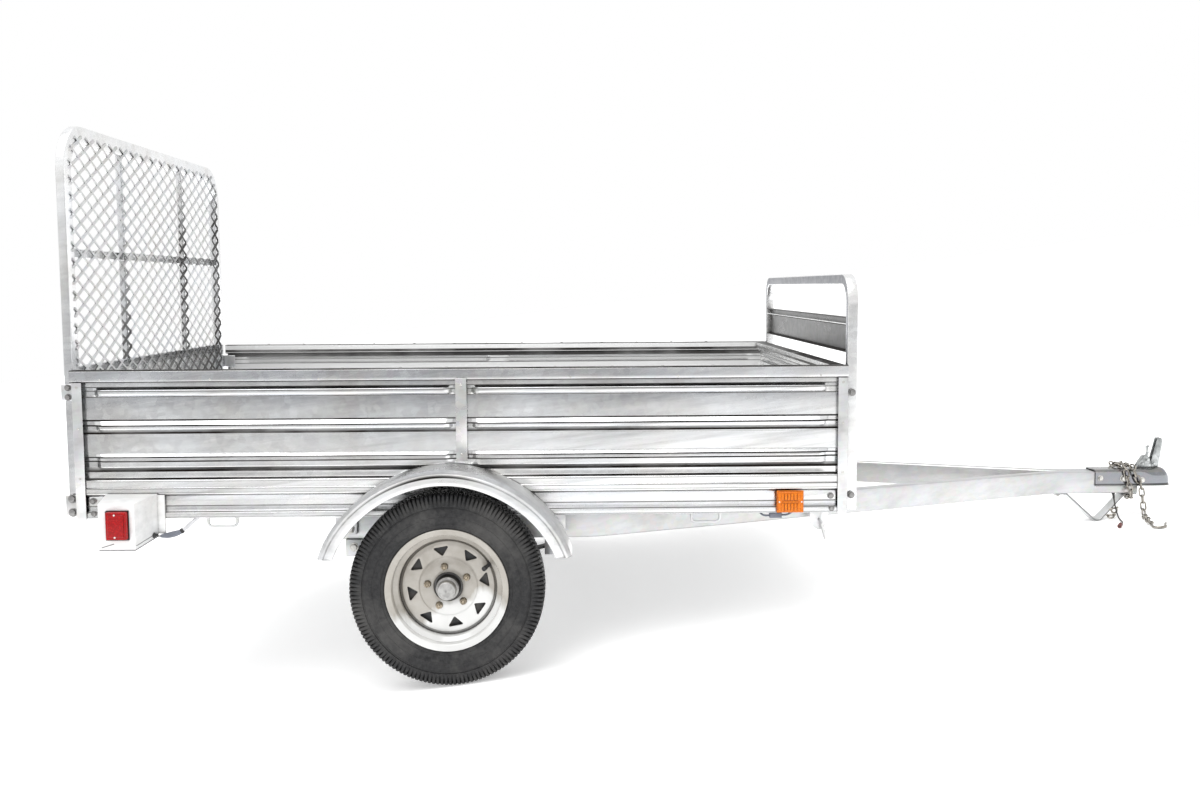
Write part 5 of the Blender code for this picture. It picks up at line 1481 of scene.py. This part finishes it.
for h in (0.3962, 0.3975, 0.3998, 0.4360, 0.4372):
    bmesh.ops.bisect_plane(bm, geom=bm.verts[:] + bm.edges[:] + bm.faces[:], dist=0.00003,
                           plane_co=Vector((0, 0, h)), plane_no=Vector((0, 0, 1)))
layer = bm.verts.layers.float.new("line")
shade = bm.verts.layers.float.new("shade")
# painted shade on the flanks, a dark line just above the turned-out edge, and the edge itself darker
for v in bm.verts:
    flank = abs(v.co.y) > coupler_half(v.co.x) - 0.0062
    if v.co.z > 0.3970 and v.co.z < 0.4365 and flank:
        v[shade] = 0.62 if v.co.z < 0.4362 else 0.20
    if 0.3961 < v.co.z < 0.3990 and flank:
        v[layer] = 0.85
    if v.co.z < 0.3915:
        v[layer] = 0.55
piece("coupler_pressed", "chassis", "coupler", bm, 45, node="coupler", recalc=True)

bm = bmesh.new()       # latch: two cheeks, a channel lever, its trigger and the pin through them
for y in (-0.0105, 0.0105):
    place = Matrix(((1, 0, 0, 0), (0, 0, 1, y), (0, 1, 0, 0), (0, 0, 0, 1)))
    prism(bm, [(2.290, 0.4478), (2.345, 0.4478), (2.3400, 0.4720), (2.3320, 0.4900), (2.3180, 0.4900), (2.3060, 0.4740)], place, 0.0030, 0.0006)
    prism(bm, [(2.3450, 0.4500), (2.3640, 0.4520), (2.3690, 0.4750), (2.3795, 0.5440), (2.3760, 0.5520), (2.3620, 0.5520), (2.3520, 0.5100), (2.3430, 0.4760)], place, 0.0025, 0.0006)
bar(bm, [(2.3665, 0, 0.4535), (2.3705, 0, 0.4800), (2.3795, 0, 0.5400), (2.3745, 0, 0.5520)], 0.021, 0.0030, (0.99, 0, -0.15), 0.0008, 2)
bar(bm, [(2.3270, 0, 0.4830), (2.3340, 0, 0.5020), (2.3290, 0, 0.5190), (2.3370, 0, 0.5250)], 0.018, 0.0030, (0.9, 0, -0.4), 0.0008, 2)
bar(bm, [(2.2960, 0, 0.4500), (2.3040, 0, 0.4720), (2.3160, 0, 0.4885)], 0.0200, 0.0025, (0.9, 0, -0.4), 0.0006, 2)
for x, z, across in ((2.330, 0.4770, 0.0100), (2.352, 0.4640, 0.0085), (2.3120, 0.4640, 0.0085)):
    wire(bm, [(x, -0.0150, z), (x, 0.0150, z)], across * 0.36, 12)
    for y in (-1, 1):
        hex_bolt(bm, (x, y * 0.0120, z), (0, y, 0), across, 0.0040, turn=0.2)
piece("coupler_latch_lever", "chassis", "latch", bm, 35, node="coupler_latch", recalc=True)

# chassis bolts, washers, clamps
bm = bmesh.new()
for side, s in SIDES:
    out = (0, s, 0)
    hex_bolt(bm, (-0.297, s * (0.701 + 0.0275), 0.398), out, 0.019, 0.008)
    for x in (0.285, -0.285):
        hex_bolt(bm, (x, s * (0.701 + 0.0275), 0.345), out, 0.017, 0.007)
    hex_bolt(bm, (2.154, s * 0.0435, 0.418), out, 0.013, 0.006)
    hex_bolt(bm, (2.233, s * 0.0435, 0.417), out, 0.015, 0.008)
    hex_bolt(bm, (2.299, s * 0.0430, 0.411), out, 0.013, 0.006)
    for x in (2.020, 2.276):
        hex_bolt(bm, (x, s * 0.0120, 0.3588), (0, 0, -1), 0.011, 0.005)
piece("chassis_bolts", "chassis", "bolt", bm, 30, recalc=True)
for side, s in SIDES:
    y = s * 0.701
    bm = bmesh.new()
    # spring seat, U bolts and clamp plate
    box(bm, (-0.055, 0.055), (y - 0.032, y + 0.032), (0.3068, 0.3120), 0.0015)
    box(bm, (-0.050, 0.050), (y - 0.030, y + 0.030), (0.2368, 0.2440), 0.0015)
    for x in (-0.039, 0.039):
        u = rounded([(x, y - 0.0265, 0.228), (x, y - 0.0265, 0.318), (x, y + 0.0265, 0.318), (x, y + 0.0265, 0.228)], 0.014, 6)
        wire(bm, u, 0.0045, 10)
        for dy in (-0.0265, 0.0265):
            hex_bolt(bm, (x, y + dy, 0.2368), (0, 0, -1), 0.016, 0.008)
    piece(f"spring_clamps_{side}", "chassis", "spring", bm, 35, recalc=True)
    bm = bmesh.new()
    for x in (0.290, -0.290):
        place = facing((x, y, 0.3480), (0, 1, 0))
        lathe(bm, place, [(0.0125, -0.0225), (0.0130, -0.0220), (0.0130, 0.0220), (0.0125, 0.0225)], 20)
    piece(f"spring_eyes_{side}", "chassis", "spring", bm, 35, recalc=True)

# shackle bracket and rings behind the stand's foot
bm = bmesh.new()


def bow(bm, centre, way, side, r, leg, wire_r):
    pts = []
    for k in range(13):
        a = math.pi * k / 12
        pts.append(centre + way * (leg + r * math.sin(a)) + side * (-r * math.cos(a)))
    pts = [centre - side * r] + pts + [centre + side * r]
    wire(bm, pts, wire_r, 10)
    lathe(bm, facing(centre - side * (r + wire_r * 2.0), side), [(wire_r * 0.9, 0), (wire_r, 0.001), (wire_r, 2 * r + wire_r * 4 - 0.001), (wire_r * 0.9, 2 * r + wire_r * 4)], 12)


first = PARKED @ Vector((2.2080, -0.0310, 0.3110))
bow(bm, first, Vector((0.12, -0.15, -0.98)).normalized(), Vector((0.97, 0.0, 0.12)).normalized(), 0.0095, 0.006, 0.0035)
bow(bm, Vector((1.5010, -0.0460, 0.0200)), Vector((-0.35, -0.80, -0.48)).normalized(), Vector((0.90, -0.40, 0.0)).normalized(), 0.0095, 0.006, 0.0035)
piece("tongue_shackles", "chassis", "chain", bm, 50, level=False, recalc=True)

# every CAD node that still shows carries a finish
for name, obj in NODES.items():
    if not obj.hide_render and not any(m and m.name in {x.name for x in M.values()} for m in obj.data.materials):
        obj.data.materials.clear()
        obj.data.materials.append(M["bracket"])

# ------------------------------------------------------------------ floor and light
bm = bmesh.new()
bmesh.ops.create_grid(bm, x_segments=2, y_segments=2, size=60)
data = bpy.data.meshes.new("studio_floor")
bm.to_mesh(data)
bm.free()
floor = bpy.data.objects.new("studio_floor", data)
floor.location = (0, 0, -0.0005)
bpy.context.scene.collection.objects.link(floor)
n = Net("studio_floor")
height = n.tree.nodes.new("ShaderNodeSeparateXYZ")
n.link(n.coords, height.inputs[0])
tone = n.ramp(n.span(height.outputs["Y"], -16.0, -2.0, 0.0, 1.0),
              [(0.0, 0.26), (0.35, 0.28), (0.56, 0.36), (0.70, 0.54), (0.80, 0.78), (0.87, 0.96)])
n.to(n.mix(n.span(n.noise(0.6, 2), 0.3, 0.7, 0.0, 0.02), tone, (0.85, 0.85, 0.85)), "Base Color")
# the floor glows in step with its tone, though it is no lamp: painted light that lifts the shade under the trailer
n.to(tone, "Emission Color")
n.set(Roughness=0.9, Emission_Strength=0.34)
n.bsdf.inputs["Specular IOR Level"].default_value = 0.1
data.materials.append(n.mat)

world = bpy.data.worlds.new("studio")
bpy.context.scene.world = world
world.use_nodes = True
tree = world.node_tree
back = tree.nodes["Background"]
coords = tree.nodes.new("ShaderNodeTexCoord").outputs["Generated"]
split = tree.nodes.new("ShaderNodeSeparateXYZ")
tree.links.new(coords, split.inputs[0])
ramp = tree.nodes.new("ShaderNodeValToRGB")       # front half of the room: a grey wall under a bright ceiling
ramp.color_ramp.interpolation = "EASE"
for i, (at, value) in enumerate([(0.0, 0.50), (0.03, 0.75), (0.10, 1.0), (0.30, 1.0)]):
    e = ramp.color_ramp.elements[i] if i < 2 else ramp.color_ramp.elements.new(at)
    e.position, e.color = at, (value, value, value, 1)
tree.links.new(split.outputs["Z"], ramp.inputs["Fac"])
mix = tree.nodes.new("ShaderNodeMix")
mix.data_type = "RGBA"
front = tree.nodes.new("ShaderNodeMapRange")
front.inputs["From Min"].default_value, front.inputs["From Max"].default_value = -0.55, -0.05
tree.links.new(split.outputs["Y"], front.inputs["Value"])
tree.links.new(front.outputs["Result"], mix.inputs[0])
tree.links.new(ramp.outputs["Color"], mix.inputs[6])
mix.inputs[7].default_value = (1, 1, 1, 1)
tree.links.new(mix.outputs[2], back.inputs["Color"])
back.inputs["Strength"].default_value = 1.0


def area(name, loc, target, size, power, size_y=None):
    light = bpy.data.lights.new(name, "AREA")
    light.energy, light.size = power, size
    if size_y:
        light.shape, light.size_y = "RECTANGLE", size_y
    obj = bpy.data.objects.new(name, light)
    obj.location = loc
    obj.rotation_euler = (Vector(target) - Vector(loc)).to_track_quat("-Z", "Y").to_euler()
    bpy.context.scene.collection.objects.link(obj)


area("top", (0.0, -0.5, 6.0), (0, 0, 0.3), 4.0, 70)
sun = bpy.data.lights.new("sky", "SUN")
sun.energy, sun.angle = 1.0, math.radians(50)
sky = bpy.data.objects.new("sky", sun)
sky.rotation_euler = (math.radians(18), math.radians(-8), 0)
bpy.context.scene.collection.objects.link(sky)

view = bpy.context.scene.view_settings
view.view_transform, view.look, view.exposure, view.gamma = "Standard", "None", 0.0, 1.0
